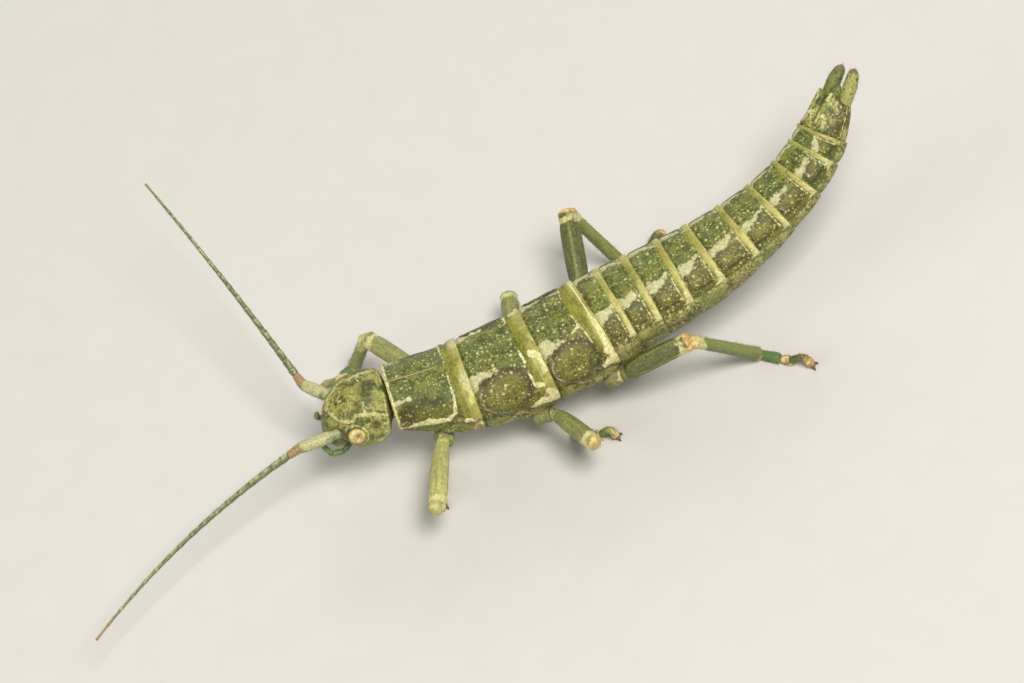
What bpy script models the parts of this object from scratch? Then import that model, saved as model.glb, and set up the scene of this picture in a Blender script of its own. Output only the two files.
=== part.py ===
"""A life-size female timema, a short stout stick insect, standing still on six feet.

Lengths below are in millimetres and are brought to metres by MM. The head points to -X,
the insect's left side faces -Y, and up is +Z. Every foot rests on the plane z = 0.
"""
import math

import bmesh
import bpy
from mathutils import Matrix, Vector

MM = 0.001
NAME = "stick_insect"
CUTTERS = "cutters"
JOINT_GAP = 0.05          # slit between two neighbouring body parts
TRUNK_SIDES = 20
LIMB_SIDES = 8
MIN_LIMB_RADIUS = 0.25    # no leg or feeler is thinner than half a millimetre

# The trunk is a chain of rings: the three thoracic ones, then abdomen_1 to abdomen_10.
NECK = Vector((-9.0, -1.2, 3.0))
RING_NAMES = ["prothorax", "mesothorax", "metathorax"] + [f"abdomen_{i}" for i in range(1, 11)]
RING_LENGTHS = [2.82, 2.56, 2.25, 0.95, 1.06, 1.24, 1.25, 1.41, 1.36, 1.34, 1.06, 0.73, 1.43]
# One value for each margin: in front of the prothorax, then behind each ring.
HEADING = [-2.0, 0.0, 6.0, 10.0, 9.0, 8.0, 8.0, 12.0, 16.0, 20.5, 27.0, 34.0, 39.0, 43.0]
PITCH = [-1.0, 0.0, 2.0, 5.0, 5.0, 4.5, 4.5, 8.0, 11.0, 14.5, 20.0, 26.0, 32.0, 37.0]
PROTHORAX_LEAN = (-4.0, -8.5)  # its side plates hang lower behind, so its middle drops that much more
HALF_WIDTH = [1.27, 1.76, 1.87, 1.82, 1.74, 1.66, 1.59, 1.49, 1.34, 1.18, 1.05, 0.97, 0.93, 0.58]
BACK_RATIO = 0.84         # height of the back above the trunk's middle line, over its half width
# Depth of the belly below that line, over the half width, at each margin.
BELLY_RATIO = [0.82, 0.90, 0.94, 0.92, 0.84, 0.80, 0.80, 0.80, 0.77, 0.73, 0.69, 0.67, 0.65, 0.62]
SQUARENESS = 0.86         # 1 is an ellipse, less is nearer a box
RING_SWELL = 0.035        # how much the middle of a ring bulges past its margins
BAND_RISE = 0.025         # how far the hind band of a ring stands proud
# Growth of the section at each share of a ring's length; the band is the last eighth.
RING_PROFILE = [(0.0, 0.96), (0.12, 1.0), (0.5, 1 + RING_SWELL), (0.84, 1 + BAND_RISE / 2),
                (0.88, 1 + BAND_RISE), (1.0, 0.99)]
LAST_RING_PROFILE = [(0.0, 0.97), (0.3, 1.03), (0.7, 1.07), (1.0, 1.08)]

HEAD_LENGTH = 2.15
NECK_GAP = 0.15           # the head tips back against the thorax
HEAD_HEADING, HEAD_PITCH = -4.0, -9.0
# Along the head, 0 at the nape and 1 at the lip: half width, height above, depth below.
HEAD_STATIONS = [
    (0.00, 1.12, 0.92, 0.86),
    (0.10, 1.30, 1.04, 1.02),
    (0.32, 1.38, 1.08, 1.16),
    (0.55, 1.28, 0.96, 1.20),
    (0.75, 1.03, 0.72, 1.00),
    (0.90, 0.76, 0.42, 0.82),
    (1.00, 0.46, 0.16, 0.62),
]
EYE_RADIUS = 0.33
EYE_AHEAD, EYE_ASIDE, EYE_ABOVE = 1.25, 1.18, -0.04
SOCKET_AHEAD, SOCKET_ASIDE, SOCKET_ABOVE = 1.80, 0.80, -0.26
# Mouthparts, from throat to lip: ahead of the nape, below the head's line, half width.
MOUTH_STATIONS = [(1.35, 1.42, 0.36), (1.60, 1.34, 0.46), (1.95, 1.14, 0.44), (2.20, 0.98, 0.30)]
MOUTH_HALF_HEIGHT = 0.25

# Each feeler: the run of its first joint, then the whip's first and last directions.
FEELERS = {
    "left": {"scape": (-1.50, -0.06, 0.05), "start": (-0.95, -0.25, -0.10), "end": (-0.80, -0.58, -0.08)},
    "right": {"scape": (-0.80, 0.92, 0.02), "start": (-0.26, 0.93, 0.20), "end": (-0.34, 0.88, 0.34)},
}
SCAPE_RADII = (0.27, 0.27, 0.25)
WHIP_LENGTH = 9.6
WHIP_STEPS = 14

# Each leg: where its hip joins the trunk (in rings from the neck), then the hip's end, and the
# runs of thigh, shin and foot. Every run is back (+X), outwards, and up.
LEGS = {
    "front_left": {"at": 0.50, "hip": (-0.20, 1.36, -0.92), "femur": (-0.98, 2.86, 0.12),
                   "tibia": (0.45, -2.86, 0.0), "tarsus": (-0.20, 1.36)},
    "mid_left": {"at": 1.51, "hip": (1.02, 1.70, -0.96), "femur": (0.92, 2.13, 0.44),
                 "tibia": (-0.40, -2.02, 0.0), "tarsus": (1.20, 0.62)},
    "hind_left": {"at": 2.68, "hip": (0.80, 1.62, -0.92), "femur": (2.57, 0.38, 1.01),
                  "tibia": (2.17, -0.39, 0.0), "tarsus": (1.53, 1.12)},
    "front_right": {"at": 0.50, "hip": (0.05, 1.30, -0.92), "femur": (-1.60, 2.35, 0.40),
                    "tibia": (-0.75, 0.60, 0.0), "tarsus": (-1.35, -0.60)},
    "mid_right": {"at": 1.51, "hip": (0.62, 1.78, -0.98), "femur": (0.29, 2.30, -0.30),
                  "tibia": (0.35, -1.75, 0.0), "tarsus": (1.25, 0.60)},
    "hind_right": {"at": 2.68, "hip": (0.44, 1.90, -0.84), "femur": (0.56, 3.08, 1.22),
                   "tibia": (1.34, -1.05, 0.0), "tarsus": (1.60, 0.90)},
}
# A hip starts inside the trunk: the share of its end's back and outward runs, and the drop below it.
HIP_ROOT_BACK, HIP_ROOT_OUT, HIP_ROOT_DROP = 0.3, 0.8, 0.22
HIP_RADII = (0.46, 0.40, 0.32)
FEMUR_RADII = (0.26, 0.32, 0.37, 0.37, 0.34, 0.34, 0.30)
TIBIA_RADII = (0.28, 0.27, 0.27, 0.27, 0.27, 0.27)
ANKLE_HEIGHT = 0.22       # height of the foot's middle, low enough to flatten its sole on the floor
SOLE = 0.0
FOOT_RADII = (0.25, 0.26, 0.25, 0.27, 0.25, 0.26)

TAIL_SHARE = 0.90         # how much of the last ring is its body; the rest is the anal plate
CERCUS_LENGTH = 1.10
CERCUS_RADII = (0.25, 0.27, 0.27, 0.26, 0.25)
CERCUS_TURN = -6.0        # how far each cercus turns away from the middle, in degrees
CERCUS_ASIDE, CERCUS_BELOW = 0.46, 0.10
PLATE_LENGTH, PLATE_RISE = 0.48, 0.08
PLATE_HALF_WIDTH, PLATE_HALF_HEIGHT = 0.17, 0.25
PLATE_PROFILE = [(0.0, 1.0), (0.6, 0.9), (1.0, 0.5)]


def clear_scene():
    """Start from nothing."""
    for ob in list(bpy.data.objects):
        bpy.data.objects.remove(ob, do_unlink=True)


def direction(heading, pitch):
    """Unit vector towards the tail for angles in degrees."""
    h, p = math.radians(heading), math.radians(pitch)
    return Vector((math.cos(h) * math.cos(p), math.sin(h) * math.cos(p), math.sin(p)))


def frame_of(heading, pitch):
    """Tailward, leftward and upward unit vectors."""
    tail = direction(heading, pitch)
    h = math.radians(heading)
    left = Vector((math.sin(h), -math.cos(h), 0.0))
    return tail, left, left.cross(tail)


def margins():
    """Centre points of the trunk's fourteen margins."""
    points = [NECK.copy()]
    for i, length in enumerate(RING_LENGTHS):
        lean = PROTHORAX_LEAN if i == 0 else (0.0, 0.0)
        heading = (HEADING[i] + HEADING[i + 1]) / 2 + lean[0]
        pitch = (PITCH[i] + PITCH[i + 1]) / 2 + lean[1]
        points.append(points[-1] + direction(heading, pitch) * length)
    return points


MARGINS = margins()


def blend(values, at):
    """A table's value between two margins."""
    i = min(int(at), len(values) - 2)
    return values[i] + (values[i + 1] - values[i]) * (at - i)


def station(at):
    """Centre and frame of the trunk at a place counted in rings from the neck."""
    i = min(int(at), len(RING_LENGTHS) - 1)
    u = at - i
    start, end = MARGINS[i], MARGINS[i + 1]
    before = MARGINS[i - 1] if i > 0 else start * 2 - end
    after = MARGINS[i + 2] if i + 2 < len(MARGINS) else end * 2 - start
    centre = (
        start * 2 + (end - before) * u
        + (before * 2 - start * 5 + end * 4 - after) * u ** 2
        + (start * 3 - before - end * 3 + after) * u ** 3
    ) / 2
    return centre, frame_of(blend(HEADING, at), blend(PITCH, at))


def squared(value):
    """Push a sine or cosine outwards, towards a box."""
    return math.copysign(abs(value) ** SQUARENESS, value)


def oval(centre, left, up, half_width, above, below, sides):
    """Points round a cross-section, counted from the top towards the left."""
    points = []
    for i in range(sides):
        angle = 2 * math.pi * i / sides
        rise = math.cos(angle)
        height = above if rise > 0 else below
        points.append(centre + left * half_width * squared(math.sin(angle)) + up * height * squared(rise))
    return points


def circle(centre, along, radius, sides, floor=None):
    """Points round a limb's section, square to its run; none of them under the floor."""
    side = along.cross(Vector((0, 0, 1)))
    if side.length < 1e-6:
        side = along.cross(Vector((1, 0, 0)))
    side.normalize()
    lift = side.cross(along).normalized()
    points = []
    for i in range(sides):
        angle = 2 * math.pi * (i + 0.5) / sides
        point = centre + (side * math.cos(angle) + lift * math.sin(angle)) * radius
        if floor is not None:
            point.z = max(point.z, floor)
        points.append(point)
    return points


def material(name, colour, roughness):
    """A Principled finish, made once for each name."""
    if name in bpy.data.materials:
        return bpy.data.materials[name]
    mat = bpy.data.materials.new(name)
    mat.use_nodes = True
    shader = mat.node_tree.nodes["Principled BSDF"]
    shader.inputs["Base Color"].default_value = (*colour, 1)
    shader.inputs["Roughness"].default_value = roughness
    return mat


def finish(name, bm, mat, collection=NAME):
    """Turn a bmesh in millimetres into a named object, with its origin at its middle."""
    bmesh.ops.recalc_face_normals(bm, faces=bm.faces)
    middle = sum((v.co for v in bm.verts), Vector()) / len(bm.verts)
    bmesh.ops.transform(bm, matrix=Matrix.Scale(MM, 4) @ Matrix.Translation(-middle), verts=bm.verts)
    mesh = bpy.data.meshes.new(name)
    bm.to_mesh(mesh)
    bm.free()
    mesh.shade_smooth()
    mesh.set_sharp_from_angle(angle=math.radians(40))
    mesh.materials.append(mat)
    ob = bpy.data.objects.new(name, mesh)
    ob.location = middle * MM
    bpy.data.collections[collection].objects.link(ob)
    return ob


def cut(target, cutter):
    """Hollow a socket in one body with a guide shape that isn't part of the model."""
    cutter.hide_render = True
    cutter.display_type = "WIRE"
    socket = bpy.data.objects[target].modifiers.new(cutter.name, "BOOLEAN")
    socket.operation = "DIFFERENCE"
    socket.object = cutter


def loft(name, rings, mat, collection=NAME):
    """A closed body through cross-sections that have the same number of points."""
    bm = bmesh.new()
    rows = [[bm.verts.new(point) for point in ring] for ring in rings]
    sides = len(rows[0])
    for front, back in zip(rows, rows[1:]):
        for i in range(sides):
            j = (i + 1) % sides
            bm.faces.new((front[i], front[j], back[j], back[i]))
    bm.faces.new(rows[0])
    bm.faces.new(reversed(rows[-1]))
    return finish(name, bm, mat, collection)


def trunk_ring(name, first, last, profile):
    """One ring of the trunk between two places, with a growth factor at each share of its length."""
    rings = []
    for share, growth in profile:
        at = first + (last - first) * share
        centre, (_, left, up) = station(at)
        width = blend(HALF_WIDTH, at) * growth
        belly = blend(BELLY_RATIO, at)
        rings.append(oval(centre, left, up, width, width * BACK_RATIO, width * belly, TRUNK_SIDES))
    return loft(name, rings, material("cuticle", (0.10, 0.13, 0.05), 0.5))


def build_trunk():
    """Thorax and abdomen: each ring swells a little and ends in a raised band."""
    for i, name in enumerate(RING_NAMES[:-1]):
        slit = JOINT_GAP / 2 / RING_LENGTHS[i]
        trunk_ring(name, i + slit, i + 1 - slit, RING_PROFILE)
    last = len(RING_NAMES) - 1
    slit = JOINT_GAP / RING_LENGTHS[last]
    trunk_ring(RING_NAMES[last], last + slit, last + TAIL_SHARE, LAST_RING_PROFILE)


def head_point(ahead, aside, above):
    """A place on the head: millimetres ahead of the nape, towards the left, and up."""
    tail, left, up = frame_of(HEAD_HEADING, HEAD_PITCH)
    return NECK - tail * (ahead + NECK_GAP) + left * aside + up * above


def build_head():
    """Skull, eyes and mouthparts."""
    _, left, up = frame_of(HEAD_HEADING, HEAD_PITCH)
    rings = []
    for share, width, above, below in HEAD_STATIONS:
        rings.append(oval(head_point(share * HEAD_LENGTH, 0, 0), left, up, width, above, below, TRUNK_SIDES))
    mat = material("cuticle", (0.10, 0.13, 0.05), 0.5)
    loft("head", rings, mat)
    rings = []
    for ahead, below, width in MOUTH_STATIONS:
        rings.append(oval(head_point(ahead, 0, -below), left, up, width, MOUTH_HALF_HEIGHT, MOUTH_HALF_HEIGHT,
                          LIMB_SIDES))
    loft("mouthparts", rings, mat)


def ball(name, centre, radius, mat, collection=NAME):
    """A small faceted sphere."""
    bm = bmesh.new()
    bmesh.ops.create_uvsphere(bm, u_segments=12, v_segments=8, radius=radius)
    bmesh.ops.translate(bm, verts=bm.verts, vec=centre)
    return finish(name, bm, mat, collection)


def rod(name, points, radii, mat, floor=None, collection=NAME):
    """A limb through points, with a radius at each."""
    rings = []
    for i, point in enumerate(points):
        before, after = points[max(i - 1, 0)], points[min(i + 1, len(points) - 1)]
        rings.append(circle(point, (after - before).normalized(), radii[i], LIMB_SIDES, floor))
    return loft(name, rings, mat, collection)


def straight(start, end, count):
    """Evenly spaced points between two places."""
    return [start.lerp(end, i / (count - 1)) for i in range(count)]


def build_eye(name, side):
    """One eye, sunk in its socket on the cheek."""
    centre = head_point(EYE_AHEAD, side * EYE_ASIDE, EYE_ABOVE)
    mat = material("eye", (0.60, 0.50, 0.30), 0.3)
    ball(name, centre, EYE_RADIUS, mat)
    cut("head", ball(f"socket_{name}", centre, EYE_RADIUS + JOINT_GAP, mat, CUTTERS))


def build_feeler(name, side):
    """A feeler: a thick first joint and a long whip that turns steadily."""
    run = FEELERS[name]
    mat = material("feeler", (0.12, 0.22, 0.18), 0.5)
    socket = head_point(SOCKET_AHEAD, side * SOCKET_ASIDE, SOCKET_ABOVE)
    scape = Vector(run["scape"])
    tip = socket + scape
    rod(f"antenna_{name}_scape", straight(socket, tip, len(SCAPE_RADII)), SCAPE_RADII, mat)
    wider = [radius + JOINT_GAP for radius in SCAPE_RADII]
    hole = straight(socket - scape.normalized() * JOINT_GAP, tip, len(wider))
    cut("head", rod(f"socket_antenna_{name}", hole, wider, mat, collection=CUTTERS))
    start, end = Vector(run["start"]).normalized(), Vector(run["end"]).normalized()
    points = [tip + start * JOINT_GAP]
    for i in range(WHIP_STEPS):
        points.append(points[-1] + start.slerp(end, i / (WHIP_STEPS - 1)) * WHIP_LENGTH / WHIP_STEPS)
    rod(f"antenna_{name}_whip", points, [MIN_LIMB_RADIUS] * len(points), mat)


def clearance(before, along, before_radius, radius):
    """How far along its run a limb starts, so as to clear the end of the limb before it."""
    turn = before.normalized().dot(along)
    if turn >= 0:
        return before_radius + JOINT_GAP
    return (before_radius + JOINT_GAP - radius * turn) / math.sqrt(1 - turn ** 2)


def build_leg(name):
    """Hip, thigh, shin and foot of one leg."""
    leg = LEGS[name]
    side = -1 if name.endswith("left") else 1
    mat = material("leg", (0.22, 0.28, 0.14), 0.5)
    centre, _ = station(leg["at"])

    def outward(back, out, up):
        return Vector((back, side * out, up))

    hip_end = centre + outward(*leg["hip"])
    back, out, up = leg["hip"]
    hip_start = centre + outward(back * HIP_ROOT_BACK, out * HIP_ROOT_OUT, up - HIP_ROOT_DROP)
    knee = hip_end + outward(*leg["femur"])
    ankle = knee + outward(*leg["tibia"])
    ankle.z = ANKLE_HEIGHT
    toe = ankle + outward(*leg["tarsus"], 0.0)
    rod(f"coxa_{name}", straight(hip_start, hip_end, 3), HIP_RADII, mat)
    along = (hip_end - hip_start).normalized() * JOINT_GAP
    socket = rod(f"socket_{name}", straight(hip_start - along, hip_end + along, 3),
                 [radius + JOINT_GAP for radius in HIP_RADII], mat, collection=CUTTERS)
    cut(RING_NAMES[int(leg["at"])], socket)
    runs = [(hip_start, hip_end, HIP_RADII), (hip_end, knee, FEMUR_RADII),
            (knee, ankle, TIBIA_RADII), (ankle, toe, FOOT_RADII)]
    for part, before, run in zip(("femur", "tibia", "tarsus"), runs, runs[1:]):
        start, end, radii = run
        along = (end - start).normalized()
        start = start + along * clearance(before[1] - before[0], along, before[2][-1], radii[0])
        floor = SOLE if part == "tarsus" else SOLE + JOINT_GAP
        rod(f"{part}_{name}", straight(start, end, len(radii)), radii, mat, floor)


def build_tail():
    """The anal plate and the two cerci beside it, behind the last ring."""
    last = len(RING_LENGTHS) - 1 + TAIL_SHARE
    centre, (tail, left, up) = station(last)
    mat = material("tail_feeler", (0.16, 0.24, 0.12), 0.5)
    base = centre + tail * JOINT_GAP
    for name, side in (("left", 1), ("right", -1)):
        turn = math.radians(CERCUS_TURN) * side
        along = tail * math.cos(turn) + left * math.sin(turn)
        root = base + left * side * CERCUS_ASIDE - up * CERCUS_BELOW
        rod(f"cercus_{name}", straight(root, root + along * CERCUS_LENGTH, len(CERCUS_RADII)), CERCUS_RADII, mat)
    rings = []
    for share, growth in PLATE_PROFILE:
        middle = base + tail * share * PLATE_LENGTH + up * PLATE_RISE
        rings.append(oval(middle, left, up, PLATE_HALF_WIDTH * growth, PLATE_HALF_HEIGHT * growth,
                          PLATE_HALF_HEIGHT * growth, LIMB_SIDES))
    loft("anal_plate", rings, material("cuticle", (0.10, 0.13, 0.05), 0.5))


def stand_on_origin():
    """Bring the middle of the whole model over the origin."""
    bpy.context.view_layer.update()
    corners = [ob.matrix_world @ Vector(corner) for ob in bpy.data.collections[NAME].objects
               for corner in ob.bound_box]
    middle = [(min(c[axis] for c in corners) + max(c[axis] for c in corners)) / 2 for axis in (0, 1)]
    for ob in bpy.data.objects:
        ob.location -= Vector((*middle, 0.0))


def main():
    clear_scene()
    for name in (NAME, CUTTERS):
        bpy.context.scene.collection.children.link(bpy.data.collections.new(name))
    build_trunk()
    build_head()
    build_eye("eye_left", 1)
    build_eye("eye_right", -1)
    build_feeler("left", 1)
    build_feeler("right", -1)
    for name in LEGS:
        build_leg(name)
    build_tail()
    stand_on_origin()


main()
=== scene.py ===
# %% [markdown]
# # Dressing a stick insect
# A timema is a short, stout stick insect, 24 mm long. Its solid model is already there as a
# frame of plain faceted bodies, standing on six feet. This lesson gives it a skin, eyes, claws
# and bristles, then a floor, soft light and a camera. Lengths are in millimetres, because the
# animal is tiny, and they are brought to metres in one place.

# %% Load the frame
import math

import bpy
import numpy as np
from mathutils import Matrix, Vector


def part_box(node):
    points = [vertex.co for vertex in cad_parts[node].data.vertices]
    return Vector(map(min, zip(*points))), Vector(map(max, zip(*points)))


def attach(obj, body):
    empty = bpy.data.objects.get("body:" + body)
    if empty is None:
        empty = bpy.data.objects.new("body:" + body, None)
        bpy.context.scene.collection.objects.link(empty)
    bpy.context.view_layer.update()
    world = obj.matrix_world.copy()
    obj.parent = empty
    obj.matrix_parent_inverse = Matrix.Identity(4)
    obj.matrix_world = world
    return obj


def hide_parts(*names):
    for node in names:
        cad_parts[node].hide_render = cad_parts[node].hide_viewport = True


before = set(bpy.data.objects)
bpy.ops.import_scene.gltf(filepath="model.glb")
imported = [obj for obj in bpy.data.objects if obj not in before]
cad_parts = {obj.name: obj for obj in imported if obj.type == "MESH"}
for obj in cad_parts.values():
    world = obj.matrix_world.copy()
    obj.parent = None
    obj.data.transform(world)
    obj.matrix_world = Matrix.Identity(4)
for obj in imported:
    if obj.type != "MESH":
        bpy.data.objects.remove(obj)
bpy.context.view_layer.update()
bpy.ops.object.select_all(action="DESELECT")
MM = 0.001
print("bodies in the frame:", len(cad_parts))

# %% [markdown]
# ## The line of the body
# The trunk is a chain of thirteen rings: three of the thorax, ten of the abdomen. A few angles
# say how the chain turns and rises, as they do in the solid model, so the skin lies just
# inside the solids. A place on the trunk is counted in rings from the neck.

# %% Rings and their directions
NECK = Vector((-9.0, -1.2, 3.0))
THORAX = 3
RING_LENGTHS = [2.82, 2.56, 2.25, 0.95, 1.06, 1.24, 1.25, 1.41, 1.36, 1.34, 1.06, 0.73, 1.43]
LAST = len(RING_LENGTHS) - 1
TAIL_SHARE = 0.90         # how much of the last ring is its body; the rest is the anal plate
HEADING = [-2.0, 0.0, 6.0, 10.0, 9.0, 8.0, 8.0, 12.0, 16.0, 20.5, 27.0, 34.0, 39.0, 43.0]
PITCH = [-1.0, 0.0, 2.0, 5.0, 5.0, 4.5, 4.5, 8.0, 11.0, 14.5, 20.0, 26.0, 32.0, 37.0]
PROTHORAX_LEAN = (-4.0, -8.5)   # the first ring turns and dips a little more
HALF_WIDTH = [1.27, 1.76, 1.87, 1.82, 1.74, 1.66, 1.59, 1.49, 1.34, 1.18, 1.05, 0.97, 0.93, 0.58]
BACK_RATIO = 0.84         # how high the back stands for each millimetre of half width
BELLY_RATIO = [0.82, 0.90, 0.94, 0.92, 0.84, 0.80, 0.80, 0.80, 0.77, 0.73, 0.69, 0.67, 0.65, 0.62]
SQUARENESS = 0.86         # of a section: 1 is an ellipse, less is nearer a box
HEAD_ROUNDNESS = 1.05     # for the top of the head, a little leaner than an ellipse


def direction(heading, pitch):
    """Unit vector towards the tail for angles in degrees."""
    h, p = math.radians(heading), math.radians(pitch)
    return Vector((math.cos(h) * math.cos(p), math.sin(h) * math.cos(p), math.sin(p)))


def frame_of(heading, pitch):
    """Tailward, leftward and upward unit vectors."""
    tail = direction(heading, pitch)
    h = math.radians(heading)
    left = Vector((math.sin(h), -math.cos(h), 0.0))
    return tail, left, left.cross(tail)


def margins():
    """Centre points of the trunk's fourteen margins."""
    points = [NECK.copy()]
    for i, length in enumerate(RING_LENGTHS):
        lean = PROTHORAX_LEAN if i == 0 else (0.0, 0.0)
        heading = (HEADING[i] + HEADING[i + 1]) / 2 + lean[0]
        pitch = (PITCH[i] + PITCH[i + 1]) / 2 + lean[1]
        points.append(points[-1] + direction(heading, pitch) * length)
    return points


MARGINS = margins()


def blend(values, at):
    """A table's value between two margins."""
    i = min(int(at), len(values) - 2)
    return values[i] + (values[i + 1] - values[i]) * (at - i)


def station(at):
    """Centre and frame of the trunk at a place counted in rings from the neck."""
    i = min(int(at), LAST)
    u = at - i
    start, end = MARGINS[i], MARGINS[i + 1]
    before = MARGINS[i - 1] if i > 0 else start * 2 - end
    after = MARGINS[i + 2] if i + 2 < len(MARGINS) else end * 2 - start
    centre = (
        start * 2 + (end - before) * u
        + (before * 2 - start * 5 + end * 4 - after) * u ** 2
        + (start * 3 - before - end * 3 + after) * u ** 3
    ) / 2
    return centre, frame_of(blend(HEADING, at), blend(PITCH, at))


# %% [markdown]
# ## The line of the head
# The head is a rounded box that tips a little forward. A place on it is given as millimetres
# ahead of the nape, towards the insect's left, and up. The left eye's solid shows where the
# whole model was set down, so one shift brings every place below into the frame.

# %% Places on the head
NECK_GAP = 0.15
HEAD_LENGTH = 2.15
HEAD_FRAME = frame_of(-4.0, -9.0)
EYE_RADIUS = 0.33
EYE_AHEAD, EYE_ASIDE, EYE_ABOVE = 1.25, 1.18, -0.04
FEELER_SOCKET = (1.80, 0.80, -0.26)


def head_point(ahead, aside, above):
    """A place on the head: millimetres ahead of the nape, towards the left, and up."""
    tail, left, up = HEAD_FRAME
    return NECK - tail * (ahead + NECK_GAP) + left * aside + up * above


low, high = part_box("eye_left")
eye_centre = (Vector(low) + Vector(high)) / 2 / MM
SHIFT = eye_centre - head_point(EYE_AHEAD, EYE_ASIDE, EYE_ABOVE)
print("shift into the frame, in mm:", [round(value, 3) for value in SHIFT])

# %% [markdown]
# ## Rolled grids
# Trunk, limbs and feelers are all tubes with one skin. Each could be cut from a cylinder, but
# their sections change all the way along, so a flat grid is added and rolled up instead: every
# point of the grid is told its place, the seam is merged, and the two ends close in a point.
# Each point also carries marks, plain numbers that the finishes read later, and the grid's own
# map is laid in a rectangle of its own, so that the pattern can be stored on one sheet.


# %% Curves and steps
def smooth(value, low, high):
    """0 below low, 1 above high, and an easy slope between."""
    share = np.clip((value - low) / (high - low), 0, 1)
    return share * share * (3 - 2 * share)


def bump(value, half):
    """A soft hill of height 1 round zero."""
    return np.exp(-(value / half) ** 2)


def curve(places, knots, values):
    """A smooth curve through values at rising knots, with no overshoot."""
    knots, values = np.array(knots, float), np.array(values, float)
    step = np.diff(knots)
    slope = np.diff(values) / step
    ease = np.zeros(len(knots))
    ease[0], ease[-1] = slope[0], slope[-1]
    same = slope[1:] * slope[:-1] > 0
    total = np.where(same, slope[1:] + slope[:-1], 1)
    ease[1:-1] = np.where(same, 2 * slope[1:] * slope[:-1] / total, 0)
    i = np.clip(np.searchsorted(knots, places) - 1, 0, len(step) - 1)
    u = np.clip((places - knots[i]) / step[i], 0, 1)
    return (
        values[i] * (1 + 2 * u) * (1 - u) ** 2 + values[i + 1] * u * u * (3 - 2 * u)
        + step[i] * u * (1 - u) * (ease[i] * (1 - u) - ease[i + 1] * u)
    )


def unit(vectors):
    """Vectors of length 1."""
    return vectors / np.maximum(np.linalg.norm(vectors, axis=-1, keepdims=True), 1e-9)


def outwards(points):
    """Surface directions of a rolled grid."""
    round_it = np.roll(points[:, :-1], -1, 1) - np.roll(points[:, :-1], 1, 1)
    round_it = np.concatenate([round_it, round_it[:, :1]], 1)
    return unit(np.cross(round_it, np.gradient(points, axis=0)))


# %% Roll one grid
MERGE = 1e-7              # points nearer than this, in metres, become one
MAP_NAME = "OFBake"


def into_frame(points):
    """Places in millimetres brought into the frame's metres, as one flat list."""
    return ((points + np.array(SHIFT)) * MM).astype(np.float32).ravel()


def store_mark(mesh, mark, values):
    """Store one number at every point of a mesh."""
    layer = mesh.attributes.new(mark, "FLOAT", "POINT")
    layer.data.foreach_set("value", values.astype(np.float32).ravel())


def store_map(mesh, layer, places):
    """Lay a map: every corner of a face takes the place of its point."""
    corner = np.empty(len(mesh.loops), np.int32)
    mesh.loops.foreach_get("vertex_index", corner)
    layer.name = MAP_NAME
    layer.data.foreach_set("uv", places[corner].astype(np.float32).ravel())


def smooth_surface(merge=False):
    """Turn the active mesh's faces outwards and shade it smooth. Merging closes a seam first."""
    bpy.ops.object.mode_set(mode="EDIT")
    bpy.ops.mesh.select_all(action="SELECT")
    if merge:
        bpy.ops.mesh.remove_doubles(threshold=MERGE)
    bpy.ops.mesh.normals_make_consistent(inside=False)
    bpy.ops.object.mode_set(mode="OBJECT")
    bpy.ops.object.shade_smooth()


def map_places(points, patch):
    """Where each point of a rolled grid lies on the map, evenly spaced along the tube."""
    left, bottom, right, top = patch
    steps = np.linalg.norm(np.diff(points, axis=0), axis=2).mean(1)
    share = np.concatenate([[0], np.cumsum(steps)]) / steps.sum()
    across = np.linspace(bottom, top, points.shape[1])
    return np.stack(np.broadcast_arrays((left + (right - left) * share)[:, None], across[None, :]), -1)


def rolled_grid(name, points, marks, patch, finish):
    """A closed tube from rows of points in millimetres; the last column repeats the first.

    patch is the tube's rectangle on the map: left, bottom, right, top.
    """
    rows, columns = points.shape[:2]
    bpy.ops.mesh.primitive_grid_add(x_subdivisions=columns - 1, y_subdivisions=rows - 1)
    ob = bpy.context.object
    ob.name = name
    mesh = ob.data
    mesh.vertices.foreach_set("co", into_frame(points))
    for mark, values in marks.items():
        store_mark(mesh, mark, np.broadcast_to(values, (rows, columns)))
    store_map(mesh, mesh.uv_layers[0], map_places(points, patch).reshape(-1, 2))
    mesh.materials.append(finish)
    smooth_surface(merge=True)
    return ob


def swept(centre, up, radius, angle, flat=1.0):
    """Points of a tube round a line of centres, none of them below the floor."""
    along = unit(np.gradient(centre, axis=0))
    aside = unit(np.cross(along, up))
    lift = np.cross(aside, along)
    points = (centre[:, None] + aside[:, None] * (radius * np.cos(angle))[..., None]
              + lift[:, None] * (radius * flat * np.sin(angle))[..., None])
    points[..., 2] = np.maximum(points[..., 2], 0.0)
    return points


def joined(parts, name):
    """Join objects into one piece."""
    bpy.ops.object.select_all(action="DESELECT")
    for part in parts:
        part.select_set(True)
    bpy.context.view_layer.objects.active = parts[0]
    bpy.ops.object.join()
    piece = bpy.context.object
    piece.name = name
    return piece


def triangles(ob):
    """How many triangles a piece has."""
    return sum(len(face.vertices) - 2 for face in ob.data.polygons)

# %% [markdown]
# ## Head, neck and trunk as one tube
# The skin runs from the lip to the last ring without a break. First come its rows: where each
# one lies, how wide it is, and how high and deep. They are close together where a ring ends in
# its raised band, because the step there is only a tenth of a millimetre.

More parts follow.
